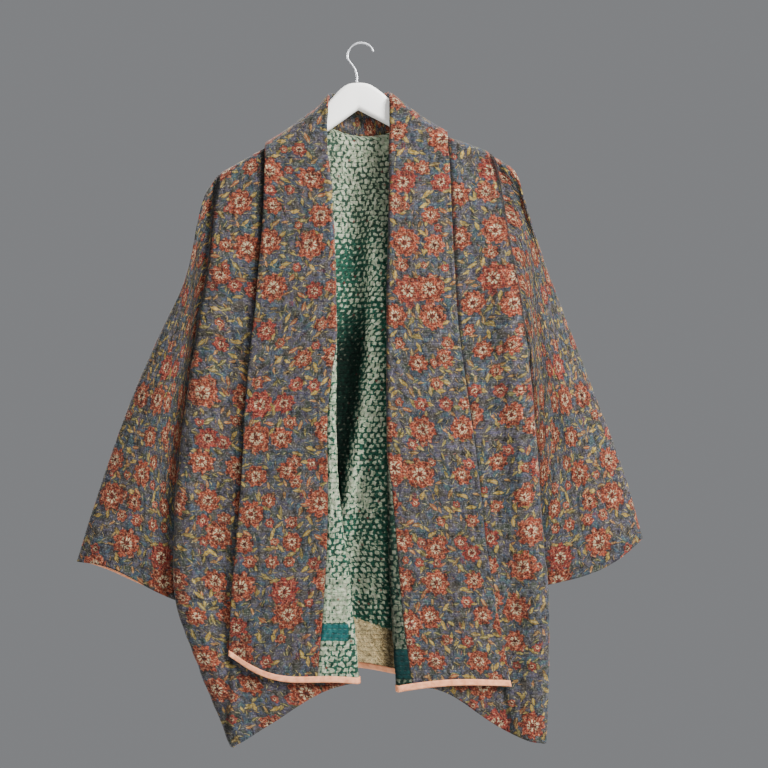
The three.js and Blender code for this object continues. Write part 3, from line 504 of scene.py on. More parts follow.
def sleeve_grid(hand, count, half):
    """A sleeve as rings from the armhole to the cuff. A ring's points keep their share of the
    armhole's height, move from the sewn edge out to the sleeve's own outline, and bulge to a
    blunt oval at the cuff."""
    sign, rows, shape = hand.sign, hand.rows, hand.sleeve
    trial = np.linspace(0, ARMHOLE_END, 60)
    trial_z = armhole_edges(trial, hand)[0][0][:, 2]
    wanted = slow_ends(half + 1)
    v = np.interp(wanted, (trial_z[0] - trial_z) / (trial_z[0] - trial_z[-1]), trial)
    front_edge, back_edge = armhole_edges(v, hand)
    h = wanted[None, :]
    start = (front_edge[0][0] + back_edge[0][0]) / 2
    line = np.stack([sign * shape["edge"]["out"], 0 * shape["edge"]["out"], shape["edge"]["z"]], -1)
    line = np.concatenate([start[None], line])
    curve = {"run": running(line[None])[0], "x": line[:, 0], "z": line[:, 2]}
    total = curve["run"][-1]
    run = np.concatenate([[0, 3, 6, 10], np.linspace(14, total, count)])[:, None]
    s = run / total

    def under(column, at):
        w = lerp(ARMHOLE_END, shape["level"], at)
        if column == "z":
            return read(rows, "v", "side_z", w)
        return sign * (read(rows, "v", "side", w) - lerp(2, SLEEVE_INSET, at))

    def across(column, at):
        return lerp(read(curve, "run", column, at * total), under(column, at), h)

    blunt = (1 - np.abs(2 * 0.988 * h - 1) ** 2.6) ** (1 / 2.6)
    low = smooth((h - 0.72) / 0.25)

    def side(edge, face):
        end, way = edge
        step = SLEEVE_STEP * smooth(h / 0.12) if face < 0 else 0 * h
        home = end[None] + np.stack([sign * np.maximum(step, 7 * low), step, -4 * low], -1)
        x, z = (
            across(c, s) + (home[..., k] - across(c, np.zeros((1, 1)))) * (1 - s) ** 2
            for c, k in (("x", 0), ("z", 2))
        )
        lip = shape["lip"] * np.sin(np.pi * np.clip(h * 1.2, 0, 1)) if face > 0 else 0
        z = z + (dip(shape["hem"], h) - lip) * smooth((s - 0.6) / 0.4)
        groove = 4 * bell((h - 0.38) / 0.13) * np.sin(np.pi * s) if face < 0 else 0
        y = lerp(home[..., 1], SLEEVE_MIDDLE + face * (SLEEVE_HALF * blunt + groove), smooth(s / 0.45))
        head = unit(lerp(way[None], np.array([sign * 0.8, 0, -0.6]), low[..., None]))
        begin = end[None] + head * (SEAM + UNDERARM_GAP * low + run)[..., None]
        return lerp(begin, np.stack([x, y, z], -1), smooth(run / 16)[..., None])

    front, behind = side(front_edge, -1), side(back_edge, 1)
    crown = (front[:, :1] + behind[:, :1]) / 2
    return np.concatenate([crown, front[:, 1:], behind[:, :0:-1]], 1)


def crumple(u, v, seed):
    """Soft unevenness of quilted cloth: a sum of slanting sine waves of 24 to 90 mm."""
    waves = np.random.default_rng(seed)
    total = np.zeros_like(u)
    for size in (90, 70, 52, 43, 36, 31, 27, 24):
        turn = waves.uniform(-0.5, 0.5) + waves.choice([0, math.pi / 2])
        phase = waves.uniform(0, 2 * math.pi)
        total += (size / 90) ** 0.7 * np.sin(
            2 * math.pi * (u * math.sin(turn) + v * math.cos(turn)) / size + phase
        )
    return total / 2.6


def hang(points):
    """How far down the cloth a point is: its height, with the arc over the saddle laid out."""
    top = ridge(points[..., 0])
    drop = np.clip(top - points[..., 2], 0, None)
    over = SADDLE * np.arccos(np.clip(1 - drop / SADDLE, -1, 1))
    return -top + np.where(drop < SADDLE, over, drop + SADDLE * (math.pi / 2 - 1))


def plan_run(points):
    """Running length along each row as seen from above."""
    steps = np.hypot(np.diff(points[..., 0], axis=1), np.diff(points[..., 1], axis=1))
    return np.concatenate([np.zeros((len(points), 1)), np.cumsum(steps, 1)], 1)


def grid_normals(points, ringed):
    """Normal of each grid point: the cross product of its way down and its way across."""
    down = np.gradient(points, axis=0)
    if ringed:
        across = np.roll(points, -1, 1) - np.roll(points, 1, 1)
    else:
        across = np.gradient(points, axis=1)
    return unit(np.cross(down, across))


def edge_fade(points, end=True, reach=14):
    """1 inside a grid and 0 at its top, its first column and its last: a smooth ramp from each."""
    down = running(points.transpose(1, 0, 2)).T
    run = running(points)
    fade = smooth(down / reach) * smooth(run / reach)
    return fade * smooth((run[:, -1:] - run) / reach) if end else fade


def close_ring(grid):
    """A grid with its first column put after its last too."""
    return np.concatenate([grid, grid[:, :1]], 1)


def corners(grid):
    """What the four corners of each cell of a grid hold: down, across and up again."""
    return np.stack([grid[:-1, :-1], grid[1:, :-1], grid[1:, 1:], grid[:-1, 1:]], 2)


def wall_mesh(
    name, points, uv, flip, ringed=False, outer=CLOTH / 2, inner=-CLOTH / 2, swap=False, crease=None,
    head=(0, 0),
):
    """A closed wall round a grid: the grid moved both ways along its normals, joined at the rims.
    Faces of the right side of the cloth have material 0, of the lining material 1, and a swap
    turns the cloth over. A value for each point may be stored as an attribute of painted shade:
    the finishes paint the colour darker by it in folds, along seams and beside edges, and a
    negative value is a painted highlight. The inner faces of a head of some rows and columns are
    printed like the outer ones, which they lap over."""
    rows, size = points.shape[:2]
    normal = grid_normals(points, ringed) * flip
    shells = np.concatenate([points + normal * outer, points + normal * inner]).reshape(-1, 3)
    index = np.arange(rows * size).reshape(rows, size)
    if ringed:
        index, uv = close_ring(index), close_ring(uv)
    below = rows * size
    order = [0, 1, 2, 3] if flip > 0 else [0, 3, 2, 1]
    face = corners(index).reshape(-1, 4)[:, order]
    face_uv = corners(uv).reshape(-1, 4, 2)[:, order]
    quads = [face, face[:, ::-1] + below]
    uvs = [face_uv, face_uv[:, ::-1]]
    kinds = [np.full(len(face), int(swap)), np.full((rows - 1, index.shape[1] - 1), int(not swap))]
    kinds[1][: head[0], : head[1]] = 0
    kinds[1] = kinds[1].ravel()

    def rim(line, line_uv, turn):
        a, b = line[::turn][:-1], line[::turn][1:]
        ua, ub = line_uv[::turn][:-1], line_uv[::turn][1:]
        quads.append(np.stack([b, a, a + below, b + below], -1))
        uvs.append(np.stack([ub, ua, ua, ub], -2))
        kinds.append(np.zeros(len(a), int))

    rim(index[0], uv[0], -flip)
    rim(index[-1], uv[-1], flip)
    if not ringed:
        rim(index[:, 0], uv[:, 0], flip)
        rim(index[:, -1], uv[:, -1], -flip)
    uvs = np.concatenate(uvs).reshape(-1, 2)
    piece = new_mesh(name, shells, np.concatenate(quads), uvs, np.concatenate(kinds))
    # The painted shade of each point is stored on both shells.
    if crease is not None:
        layer = piece.data.attributes.new("crease", "FLOAT", "POINT")
        both = np.broadcast_to(crease, (2, rows, size))
        layer.data.foreach_set("value", both.astype(np.float32).ravel())
    return piece


def new_mesh(name, co, quads, uv=None, kinds=None):
    """A smooth mesh object in metres from arrays of points in millimetres and of quads."""
    mesh = bpy.data.meshes.new(name)
    mesh.vertices.add(len(co))
    mesh.vertices.foreach_set("co", (co * MM).astype(np.float32).ravel())
    mesh.loops.add(quads.size)
    mesh.loops.foreach_set("vertex_index", quads.astype(np.int32).ravel())
    mesh.polygons.add(len(quads))
    mesh.polygons.foreach_set("loop_start", np.arange(0, quads.size, 4, dtype=np.int32))
    mesh.polygons.foreach_set("use_smooth", np.ones(len(quads), bool))
    if kinds is not None:
        mesh.polygons.foreach_set("material_index", kinds.astype(np.int32))
    if uv is not None:
        layer = mesh.uv_layers.new(name="cloth")
        layer.data.foreach_set("uv", (uv * MM).astype(np.float32).ravel())
    mesh.update(calc_edges=True)
    if mesh.validate():
        raise RuntimeError(f"{name}: the mesh had faults")
    piece = bpy.data.objects.new(name, mesh)
    bpy.context.scene.collection.objects.link(piece)
    return piece


def finish_piece(piece, node, slot, *makers):
    """A piece gets its materials, stands for its CAD node and moves with the jacket's body."""
    for maker in makers:
        piece.data.materials.append(bpy.data.materials.get(maker.__name__) or maker())
    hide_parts(node)
    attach(piece, "root")
    return piece


def shader_math(operation):
    """A method that adds a Math node."""
    def method(self, *others):
        return self.finish.math(operation, self, *others)

    return method


class Value:
    """A number socket of a shader. Arithmetic on it adds Math nodes."""

    __add__ = __radd__ = shader_math("ADD")
    __sub__ = shader_math("SUBTRACT")
    __mul__ = __rmul__ = shader_math("MULTIPLY")
    __truediv__ = shader_math("DIVIDE")
    __pow__ = shader_math("POWER")
    sin = shader_math("SINE")
    cos = shader_math("COSINE")
    abs = shader_math("ABSOLUTE")
    floor = shader_math("FLOOR")
    mod = shader_math("FLOORED_MODULO")
    most = shader_math("MAXIMUM")
    root = shader_math("SQRT")
    angle = shader_math("ARCTAN2")

    def __init__(self, finish, socket):
        self.finish = finish
        self.socket = socket

    def __rsub__(self, other):
        return self.finish.math("SUBTRACT", other, self)

    def ramp(self, low, high):
        """0 below low and 1 above high, or the other way round where low is the larger."""
        settings = {"interpolation_type": "SMOOTHSTEP"}
        ends = {1: min(low, high), 2: max(low, high)}
        rise = self.finish.node("ShaderNodeMapRange", settings, {0: self, **ends}, 0)
        return rise if low < high else 1.0 - rise


class Finish:
    """One material and the nodes that it is made of. Colours are given in the 0 to 255 of a
    screen."""

    def __init__(self, name):
        self.material = bpy.data.materials.new(name)
        self.material.use_nodes = True
        self.tree = self.material.node_tree
        self.tree.nodes.clear()

    def node(self, kind, settings, inputs, output):
        """Adds a node: its settings first, then the values or links of its sockets."""
        made = self.tree.nodes.new(kind)
        for key, value in settings.items():
            setattr(made, key, value)
        for key, value in inputs.items():
            if isinstance(value, Value):
                self.tree.links.new(value.socket, made.inputs[key])
            else:
                made.inputs[key].default_value = value
        return made if output is None else Value(self, made.outputs[output])

    def math(self, operation, *inputs):
        return self.node("ShaderNodeMath", {"operation": operation}, dict(enumerate(inputs)), 0)

    def vector(self, operation, *inputs):
        return self.node("ShaderNodeVectorMath", {"operation": operation}, dict(enumerate(inputs)), 0)

    def mix(self, mask, under, over):
        """Over where the mask is 1 and under where it is 0, as colours."""
        colours = [c if isinstance(c, Value) else (*srgb(*c), 1.0) for c in (under, over)]
        settings = {"data_type": "RGBA"}
        return self.node("ShaderNodeMix", settings, {0: mask, 6: colours[0], 7: colours[1]}, 2)

    def tint(self, colour, factor):
        """A colour multiplied by a number, channel by channel."""
        return self.node("ShaderNodeVectorMath", {"operation": "SCALE"}, {0: colour, 3: factor}, 0)

    def ramp(self, value, *stops):
        """The colour at a value, between stops of a position and a colour."""
        made = self.node("ShaderNodeValToRGB", {}, {0: value}, None)
        elements = made.color_ramp.elements
        while len(elements) < len(stops):
            elements.new(1.0)
        for element, (position, *colour) in zip(elements, stops):
            element.position = position
            element.color = (*srgb(*colour), 1.0)
        return Value(self, made.outputs[0])

    def place(self):
        """Where a point is on the object, in metres."""
        return Value(self, self.node("ShaderNodeTexCoord", {}, {}, None).outputs["Object"])

    def grain(self, scale, detail):
        """A noise through the whole object."""
        inputs = {"Vector": self.place(), "Scale": scale, "Detail": detail}
        return self.node("ShaderNodeTexNoise", {}, inputs, 0)

    def surface(self, colour, roughness, height=None, distance=1.0, strength=1.0, **constants):
        """The Principled shader of a finish, with its height as a bump in metres."""
        inputs = {"Base Color": colour, "Roughness": roughness, **constants}
        if height is not None:
            bump = {"Height": height, "Strength": strength, "Distance": distance}
            inputs["Normal"] = self.node("ShaderNodeBump", {}, bump, 0)
        shader = self.node("ShaderNodeBsdfPrincipled", {}, inputs, 0)
        self.node("ShaderNodeOutputMaterial", {}, {0: shader}, None)
        return self.material


def srgb(red, green, blue):
    """Linear colour of a colour given in the 0 to 255 of a screen."""
    return tuple(((c / 255 + 0.055) / 1.055) ** 2.4 for c in (red, green, blue))


class Cloth(Finish):
    """A finish laid out in millimetres of cloth: u across and v down."""

    def __init__(self, name):
        super().__init__(name)
        coordinate = self.node("ShaderNodeUVMap", {"uv_map": "cloth"}, {}, 0)
        self.plane = self.tint(coordinate, 1000.0)
        self.u, self.v = self.split(self.plane)

    def split(self, vector):
        parts = self.node("ShaderNodeSeparateXYZ", {}, {0: vector}, None)
        return Value(self, parts.outputs[0]), Value(self, parts.outputs[1])

    def join(self, x, y):
        return self.node("ShaderNodeCombineXYZ", {}, {0: x, 1: y}, 0)

    # Reads the painted shade that a piece stores for each point.
    def crease(self):
        return self.node("ShaderNodeAttribute", {"attribute_name": "crease"}, {}, 2)

    def noise(self, scale, detail=2.0, vector=None, output=0, **more):
        inputs = {"Vector": vector or self.plane, "Scale": scale, "Detail": detail, **more}
        return self.node("ShaderNodeTexNoise", {"noise_dimensions": "2D"}, inputs, output)

    def wobble(self, size, amount):
        """The plane, pushed about by a noise of that size."""
        moved = self.vector("SUBTRACT", self.noise(1 / size, 1.0, output=1), (0.5, 0.5, 0.5))
        return self.vector("MULTIPLY_ADD", moved, (amount, amount, 0), self.plane)

    def quilting(self, pitch=6.5, length=7.5):
        """Height of running stitches in rows: each stitch sinks in and the cloth swells between."""
        wave = self.noise(1 / 60, 1.0)
        row = self.v / pitch + wave * 0.9
        line = row.floor()
        across = (row - line - 0.5).abs()
        dash = (self.u / length + line * 0.37 + wave * 2.0).mod(1.0)
        stitch = (dash - 0.5).abs().ramp(0.30, 0.22) * across.ramp(0.16, 0.06)
        swell = (0.5 - across) * 2.0
        return stitch, 1.0 - swell * swell

    def crinkle(self):
        """The unevenness between the rows, drawn out along them."""
        return self.noise(1 / 6.5, 3.0, self.vector("MULTIPLY", self.plane, (1.0, 0.55, 1.0)))

    def relief(self, stitch, swell, crinkle):
        """Stitches, swells, crinkles and the weave as one height in millimetres."""
        return swell * 0.35 - stitch * 0.45 + crinkle * 1.5 + self.noise(1.4) * 0.10

    def scatter(self, vector, size, shift, randomness):
        """Places strewn one to a cell: the way from the nearest, turned at random, and two
        random numbers of it."""
        moved = self.vector("ADD", vector, (*shift, 0))
        inputs = {"Vector": moved, "Scale": 1 / size, "Randomness": randomness}
        cells = self.node("ShaderNodeTexVoronoi", {"voronoi_dimensions": "2D"}, inputs, None)
        away = self.vector("SUBTRACT", moved, Value(self, cells.outputs["Position"]))
        dice = self.node("ShaderNodeSeparateColor", {}, {0: Value(self, cells.outputs["Color"])}, None)
        inputs = {"Vector": away, "Angle": Value(self, dice.outputs[0]) * 6.283}
        turned = self.node("ShaderNodeVectorRotate", {"rotation_type": "Z_AXIS"}, inputs, 0)
        return self.split(turned), Value(self, dice.outputs[1]), Value(self, dice.outputs[2])


def leaves(cloth, colour, drawn, size, shift, half, wide, share, *stops):
    """Lens-shaped leaves with a pale rib: wide times one less the square of the way along."""
    (x, y), kind, shade = cloth.scatter(drawn, size, shift, 0.9)
    lens = (1 - (y / half) ** 2) * wide - x.abs()
    leaf = cloth.mix(x.abs().ramp(wide * 0.4, 0.1) * 0.6, cloth.ramp(shade, *stops), (228, 208, 150))
    some = kind.ramp(1 - share, 1.01 - share)
    colour = cloth.mix(lens.ramp(-0.9, -0.1) * some * 0.5, colour, (72, 68, 58))
    return cloth.mix(lens.ramp(0, 0.4) * some, colour, leaf)


def blossoms(cloth, colour, drawn, size, shift, least, most, count, share, wave, fine):
    """Round blossoms. The edge is a circle notched by the cube of the cosine of count times half
    the angle; inside lie radial streaks, a pale line round the inner petals and a heart of dashes."""
    (x, y), kind, shade = cloth.scatter(drawn, size, shift, 0.5)
    far = (x * x + y * y).root()
    angle = y.angle(x)
    radius = shade * (most - least) + least
    notch = (angle * (count / 2)).cos().abs() ** 3
    between = (angle * (count / 2) + 0.8).sin().abs()
    near = far / ((1.05 - notch * 0.22 + (wave - 0.5) * 0.6) * radius)
    streak = cloth.noise(1, vector=cloth.join(angle * 3, far * 0.22))
    red = cloth.ramp(
        streak + (fine - 0.5) * 0.35, (0.30, 116, 50, 40), (0.42, 174, 80, 56),
        (0.56, 206, 106, 74), (0.67, 226, 150, 112), (0.77, 242, 200, 156),
    )
    red = cloth.mix(kind.ramp(0.80, 0.84) * 0.5, red, (172, 56, 62))
    petal = (near * (1 + between * 0.22) - 0.76).abs()
    red = cloth.mix(petal.ramp(0.07, 0.02) * (fine - 0.2).ramp(0.2, 0.4) * 0.6, red, (232, 170, 130))
    red = cloth.mix(petal.ramp(0.17, 0.10) * petal.ramp(0.04, 0.08) * 0.55, red, (110, 42, 34))
    ring = far / (radius * 0.30) + (fine - 0.5) * 1
    gaps = ((angle * 9 + wave * 8).sin() + (fine - 0.5) * 4).ramp(-0.5, 0.1)
    red = cloth.mix(ring.ramp(1.6, 1.4) * 0.6, red, (150, 62, 44))
    red = cloth.mix((ring - 1.05).abs().ramp(0.50, 0.30) * gaps, red, (244, 220, 176))
    red = cloth.mix(ring.ramp(0.50, 0.36) * 0.8, red, (108, 48, 36))
    some = kind.ramp(1 - share, 1.01 - share)
    colour = cloth.mix(near.ramp(1.22, 1.02) * some * 0.45, colour, (70, 62, 62))
    return cloth.mix(near.ramp(1, 0.94) * some, colour, red)


def printed_cotton():
    """Cotton printed with blossoms and leaves on a mottled grey ground."""
    cloth = Cloth("printed_cotton")
    wave = cloth.noise(1 / 5)
    fine = cloth.noise(1 / 2.4)
    crinkle = cloth.crinkle()
    drawn = cloth.wobble(6.5, 3)
    x, y = cloth.split(drawn)

    patch = cloth.noise(1 / 13) + (fine - 0.5) * 0.25
    tone = cloth.noise(1 / 30, Distortion=0.6)
    cool = cloth.ramp(
        patch,
        (0.34, 86, 94, 80), (0.42, 108, 108, 104), (0.50, 100, 100, 106),
        (0.58, 90, 102, 124), (0.66, 88, 112, 112),
    )
    warm = cloth.ramp(
        patch,
        (0.34, 96, 88, 78), (0.46, 112, 107, 102), (0.58, 104, 98, 122),
        (0.68, 120, 112, 102),
    )
    colour = cloth.mix(tone.ramp(0.44, 0.56), cool, warm)
    colour = cloth.mix(fine.ramp(0.60, 0.72) * 0.5, colour, (168, 166, 156))
    colour = cloth.mix(wave.ramp(0.36, 0.28) * 0.6, colour, (66, 64, 84))

    colour = leaves(
        cloth, colour, drawn, 10, (13, 5), 4.6, 0.9, 0.6,
        (0, 204, 192, 146), (0.4, 150, 142, 86), (0.7, 190, 142, 84),
        (0.9, 150, 70, 84),
    )
    colour = leaves(
        cloth, colour, drawn, 15.5, (43, 25), 6, 2.2, 0.65,
        (0, 214, 180, 88), (0.35, 166, 150, 78), (0.6, 208, 132, 78),
        (0.85, 112, 112, 70),
    )
    colour = leaves(
        cloth, colour, drawn, 21, (3, 8), 8.5, 3, 0.65,
        (0, 202, 170, 78), (0.3, 216, 176, 92), (0.6, 134, 128, 74),
        (0.85, 192, 112, 70),
    )
    colour = blossoms(cloth, colour, drawn, 29, (41, 17), 5, 11, 6, 0.40, wave, fine)
    colour = blossoms(cloth, colour, drawn, 55, (11, 29), 13, 23, 8, 0.86, wave, fine)

    bar_rows = (y / 47).floor()
    bx, by = (x + bar_rows * 31).mod(73) - 36, y.mod(47) - 23
    bars = by.abs().ramp(5, 4.4) * bx.abs().ramp(3.6, 3.2) * (bx * 2.6).sin().ramp(-0.1, 0.2)
    bars = bars * tone.ramp(0.56, 0.6)
    colour = cloth.mix(bars * 0.8, colour, (146, 38, 64))

    stitch, swell = cloth.quilting()
    colour = cloth.mix(stitch * 0.15, colour, (176, 168, 160))
    fade = cloth.noise(1 / 45, 3)
    # Painted light and shade: the colour is darker in the crinkles' hollows and lighter on the quilted
    # swells, times a random tone, and the stored painted shade darkens folds, seams and the lapels' edges.
    light = (fade * 0.4 + 0.44) * ((fine - 0.5) * 1.6 + (crinkle - 0.5) * 2.3 + 0.94 + swell * 0.08)
    colour = cloth.tint(colour, light * (0.39 - cloth.crease() * 0.35))
    return cloth.surface(
        colour, 0.9, cloth.relief(stitch, swell, crinkle), 0.001, 1,
        **{"Specular IOR Level": 0.12, "Sheen Weight": 0.08, "Sheen Roughness": 0.5},
    )


def lining_cotton():
    """Teal cotton printed all over with blocks of mint that run together where it is paler."""
    cloth = Cloth("lining_cotton")
    parts = cloth.node("ShaderNodeSeparateXYZ", {}, {0: cloth.place()}, None)
    px, py, pz = (Value(cloth, parts.outputs[k]) * 1000 for k in range(3))
    wave = cloth.noise(1 / 5.5)
    fine = cloth.noise(1 / 2.4)
    soft = cloth.noise(1 / 60)
    crinkle = cloth.crinkle()
    x, y = cloth.split(cloth.wobble(11, 7))
    row = (y / 8.2).floor()
    across = ((x / 10.4 + row * 0.45).mod(1) - 0.5).abs()
    down = ((y / 8.2).mod(1) - 0.5).abs()
    block = 1 - across.most(down * 0.9) * 2
    behind = py.ramp(-4, 0)
    high = pz.ramp(-340, -200)
    turned = 1 - behind
    cover = 0.66 + high * 0.12 - behind * (1 - high) * 0.12 + (soft - 0.5) * 0.9
    crease = cloth.crease()
    cover = cover + turned * px.ramp(-10, -20) * 0.16 + behind * pz.ramp(-520, -620) * 0.08
    # The stored painted shade also thins out the mint blocks where the back lies in shade.
    cover = cover - behind * crease * 0.42
    plain_right = px.ramp(-16, -20) * pz.ramp(-860, -864) * pz.ramp(-888, -884)
    plain_left = px.ramp(44, 48) * pz.ramp(-898, -902) * pz.ramp(-944, -940)
    plain = (plain_right + plain_left) * turned
    mint_share = (block + cover - 1 + (wave - 0.5) * 1.1 - plain * 2).ramp(-0.05, 0.10)
    teal = cloth.ramp(wave, (0.3, 34, 74, 60), (0.5, 48, 100, 80), (0.7, 58, 120, 98))
    teal = cloth.mix(high * 0.7, teal, (70, 92, 76))
    teal = cloth.mix(plain * 0.7, teal, (42, 118, 122))
    mint = cloth.ramp(wave, (0.3, 164, 190, 154), (0.5, 206, 220, 184), (0.7, 236, 236, 208))
    colour = cloth.mix(mint_share * 0.92, teal, mint)
    dots = cloth.node(
        "ShaderNodeTexVoronoi", {"voronoi_dimensions": "2D"}, {"Vector": cloth.plane, "Scale": 1 / 40}, 0,
    )
    colour = cloth.mix(dots.ramp(0.06, 0.03) * 0.7, colour, (150, 70, 66))
    edge = pz + px * 0.36 + 868 + (wave - 0.5) * 10
    # The back's buff facing is painted darker towards the wearer's left, a painted shade beside the left
    # roll.
    buff = cloth.ramp(
        fine * 0.5 + wave * 0.5 + 0.10 - (px - 12).most(0) * 0.004,
        (0.30, 120, 92, 64), (0.42, 186, 158, 108), (0.50, 236, 206, 150),
        (0.62, 250, 226, 172),
    )
    buff = cloth.tint(buff, 1.35 - px.ramp(14, 46) * 0.85)
    olive = (cloth.noise(1 / 7, 1, Distortion=1.5) - 0.5).abs().ramp(0.035, 0.015)
    buff = cloth.mix(olive * 0.8, buff, (104, 94, 56))
    colour = cloth.mix(edge.ramp(0, -3) * behind, colour, buff)
    stitch, swell = cloth.quilting()
    colour = cloth.mix(stitch * 0.12, colour, (226, 226, 208))
    # Painted light and shade: darker in the crinkles' hollows, lighter on the quilted swells, painted
    # lighter on the back's lining below the neck, painted shade on the turned lining past 20 mm to the
    # wearer's left, and the stored painted shade in the hollows with a painted highlight on the crest.
    light = (fine - 0.5) * 0.8 + (crinkle - 0.5) * 1.4 + 0.78 + swell * 0.08
    shade = (behind * (1 - high) * 0.24 + 0.43) * (1 - turned * px.ramp(20, 34) * 0.75)
    colour = cloth.tint(colour, light * shade * (1 - crease * 0.92))
    return cloth.surface(
        colour, 0.92, cloth.relief(stitch, swell, crinkle), 0.001, 1, **{"Specular IOR Level": 0.12}
    )


def peach_cotton():
    """Plain peach cotton of the hem facings."""
    cloth = Cloth("peach_cotton")
    tone = cloth.noise(1 / 9, 3)
    colour = cloth.ramp(tone, (0.3, 196, 126, 90), (0.7, 222, 156, 118))
    weave = cloth.noise(1.1)
    return cloth.surface(colour, 0.9, weave * 0.15 + tone * 0.5, 0.001, 0.8, **{"Specular IOR Level": 0.2})


def hanger_paint():
    """Off-white satin paint, a little uneven."""
    paint = Finish("hanger_paint")
    tone = paint.grain(40, 3)
    colour = paint.ramp(tone, (0.3, 240, 238, 234), (0.7, 250, 249, 246))
    return paint.surface(colour, tone * 0.2 + 0.3, tone * 0.2, 0.001, 0.4)


def hook_steel():
    """Bright wire with faint draw marks."""
    steel = Finish("hook_steel")
    tone = steel.grain(300, 2)
    colour = steel.ramp(tone, (0.3, 96, 98, 102), (0.7, 150, 152, 156))
    return steel.surface(colour, tone * 0.2 + 0.18, Metallic=1)


def floor_paint():
    """Plain pale floor."""
    floor = Finish("floor_paint")
    colour = floor.ramp(floor.grain(3, 3), (0.3, 206.4, 206.4, 206.4), (0.7, 215.1, 215.1, 215.1))
    return floor.surface(colour, 0.8)


class JacketSettings(bpy.types.PropertyGroup):
    spacing: bpy.props.FloatProperty(
        name="Mesh spacing", description="Distance between the points of the cloth",
        default=0.0036, min=0.002, max=0.02, unit="LENGTH", subtype="DISTANCE",
    )
    crumple: bpy.props.FloatProperty(
        name="Crumple", description="How far the quilted cloth is uneven",
        default=0.0009, min=0.0, max=0.003, unit="LENGTH", subtype="DISTANCE",
    )


class StageSettings(bpy.types.PropertyGroup):
    distance: bpy.props.FloatProperty(
        name="Camera distance", description="How far the camera stands in front",
        default=1.8, min=0.5, max=10.0, unit="LENGTH", subtype="DISTANCE",
    )
    grey: bpy.props.FloatVectorProperty(
        name="Background", description="Colour of the surroundings",
        default=(0.22, 0.225, 0.235), min=0.0, max=1.0, size=3, subtype="COLOR",
    )
    power: bpy.props.FloatProperty(
        name="Light power", description="Power of the main light", default=235.0, min=0.0, unit="POWER",
    )


def spans(length):
    """How many spans of the mesh go into a length."""
    return int(length / (bpy.context.scene.kantha_jacket.spacing / MM))


def uneven(points, uv, flip, seed, fade, ringed=False):
    """A grid moved along its normals by the cloth's crumple, where nothing is sewn."""
    amount = bpy.context.scene.kantha_jacket.crumple / MM * crumple(uv[..., 0], uv[..., 1], seed)
    return points + grid_normals(points, ringed) * flip * (amount * fade)[..., None]


def quilted(node, grid, uv, flip, seed, fade, drawn=None, **more):
    """A piece of crumpled cloth, printed on its right side and lined. Its print may be laid out
    in another way than its crumple."""
    grid = uneven(grid, uv, flip, seed, fade, more.get("ringed", False))
    piece = wall_mesh(f"jacket_{node}", grid, uv if drawn is None else drawn, flip, **more)
    return finish_piece(piece, node, "quilted_cloth", printed_cotton, lining_cotton)


class JACKET_OT_back(bpy.types.Operator):
    """Makes the back, with its neckline and the folds down to the hem"""

    bl_idname = "jacket.back"
    bl_label = "Back"

    def execute(self, context):
        grid = dense_back(body_levels())
        uv = np.stack([plan_run(grid) + 30, hang(grid)], -1)
        drop = np.maximum(0, ridge(grid[..., 0]) - grid[..., 2])
        past = past_crest(grid[..., 0], drop)
        # Painted shade darkens the lining in the hollow beside the crest and under the left roll, and a
        # painted highlight lightens the crest itself.
        deep = smooth((drop - 120) / 180)
        hollow = smooth((-CREST_FOOT - past) / 7 + 0.5) * (1 - smooth((drop - 640) / 80))
        hollow = hollow * lerp(0.28, 0.95, smooth((drop - 310) / 90))
        beside = 0.9 * bell((grid[..., 0] - LEFT_ROLL) / 7)
        lit = 0.4 * bell(past / 12) * (1 - smooth((drop - 500) / 200))
        inside = (np.maximum(hollow, beside) - lit) * deep
        crease = np.stack([0 * inside, inside])
        piece = quilted("back", grid, uv, -1, 3, edge_fade(grid), crease=crease)
        return {"FINISHED"}


class JACKET_OT_fronts(bpy.types.Operator):
    """Makes the two fronts as far as the collar seam"""

    bl_idname = "jacket.fronts"
    bl_label = "Fronts"

    def execute(self, context):
        v = body_levels()[:, None]
        for hand in HANDS:
            grid, _ = front_pieces(hand)
            grid[:, 0, 1] += SIDE_REACH * smooth((v[:, 0] - UNDERARM) / 0.05)
            # Painted shade: a painted shadow just past the lapel's outer edge, and painted shade along the
            # armhole seam.
            past = np.abs(grid[..., 0]) - read(hand.rows, "v", "lapel", v)
            shade = 0.9 * (1 - smooth(np.abs(past - 2) / 7))
            crease = np.maximum(shade, (1 - smooth((running(grid) - 4) / 9)) * (v < ARMHOLE_END))
            run = plan_run(grid)
            u = hand.shift[0] + hand.flip * (run[:, -1:] - run)
            uv = np.stack([u, hang(grid) + hand.shift[1]], -1)
            node, fade = f"front_{hand.name}", edge_fade(grid)
            piece = quilted(node, grid, uv, hand.flip, hand.front_seed, fade, crease=crease)
        return {"FINISHED"}


class JACKET_OT_collar(bpy.types.Operator):
    """Makes the collar: a lapel on each side and the piece behind the neck"""

    bl_idname = "jacket.collar"
    bl_label = "Collar"

    def execute(self, context):
        first = []
        for hand in HANDS:
            _, grid = front_pieces(hand)
            first.append(grid[0])
            uv = np.stack([hand.flip * plan_run(grid), hang(grid)], -1)
            node, fade = f"collar_{hand.name}", edge_fade(grid, end=False)
            piece = quilted(node, grid, uv, hand.flip, hand.collar_seed, fade, swap=True)
        grid = neck_grid(*first, spans(NECK_RUN))
        down = running(grid)
        uv = np.stack([running(grid[None, :, -1])[0][:, None] + 0 * down, down + 30], -1)
        fade = edge_fade(grid) * edge_fade(grid[::-1])[::-1]
        piece = quilted("collar_neck", grid, uv, 1, 17, fade)
        return {"FINISHED"}


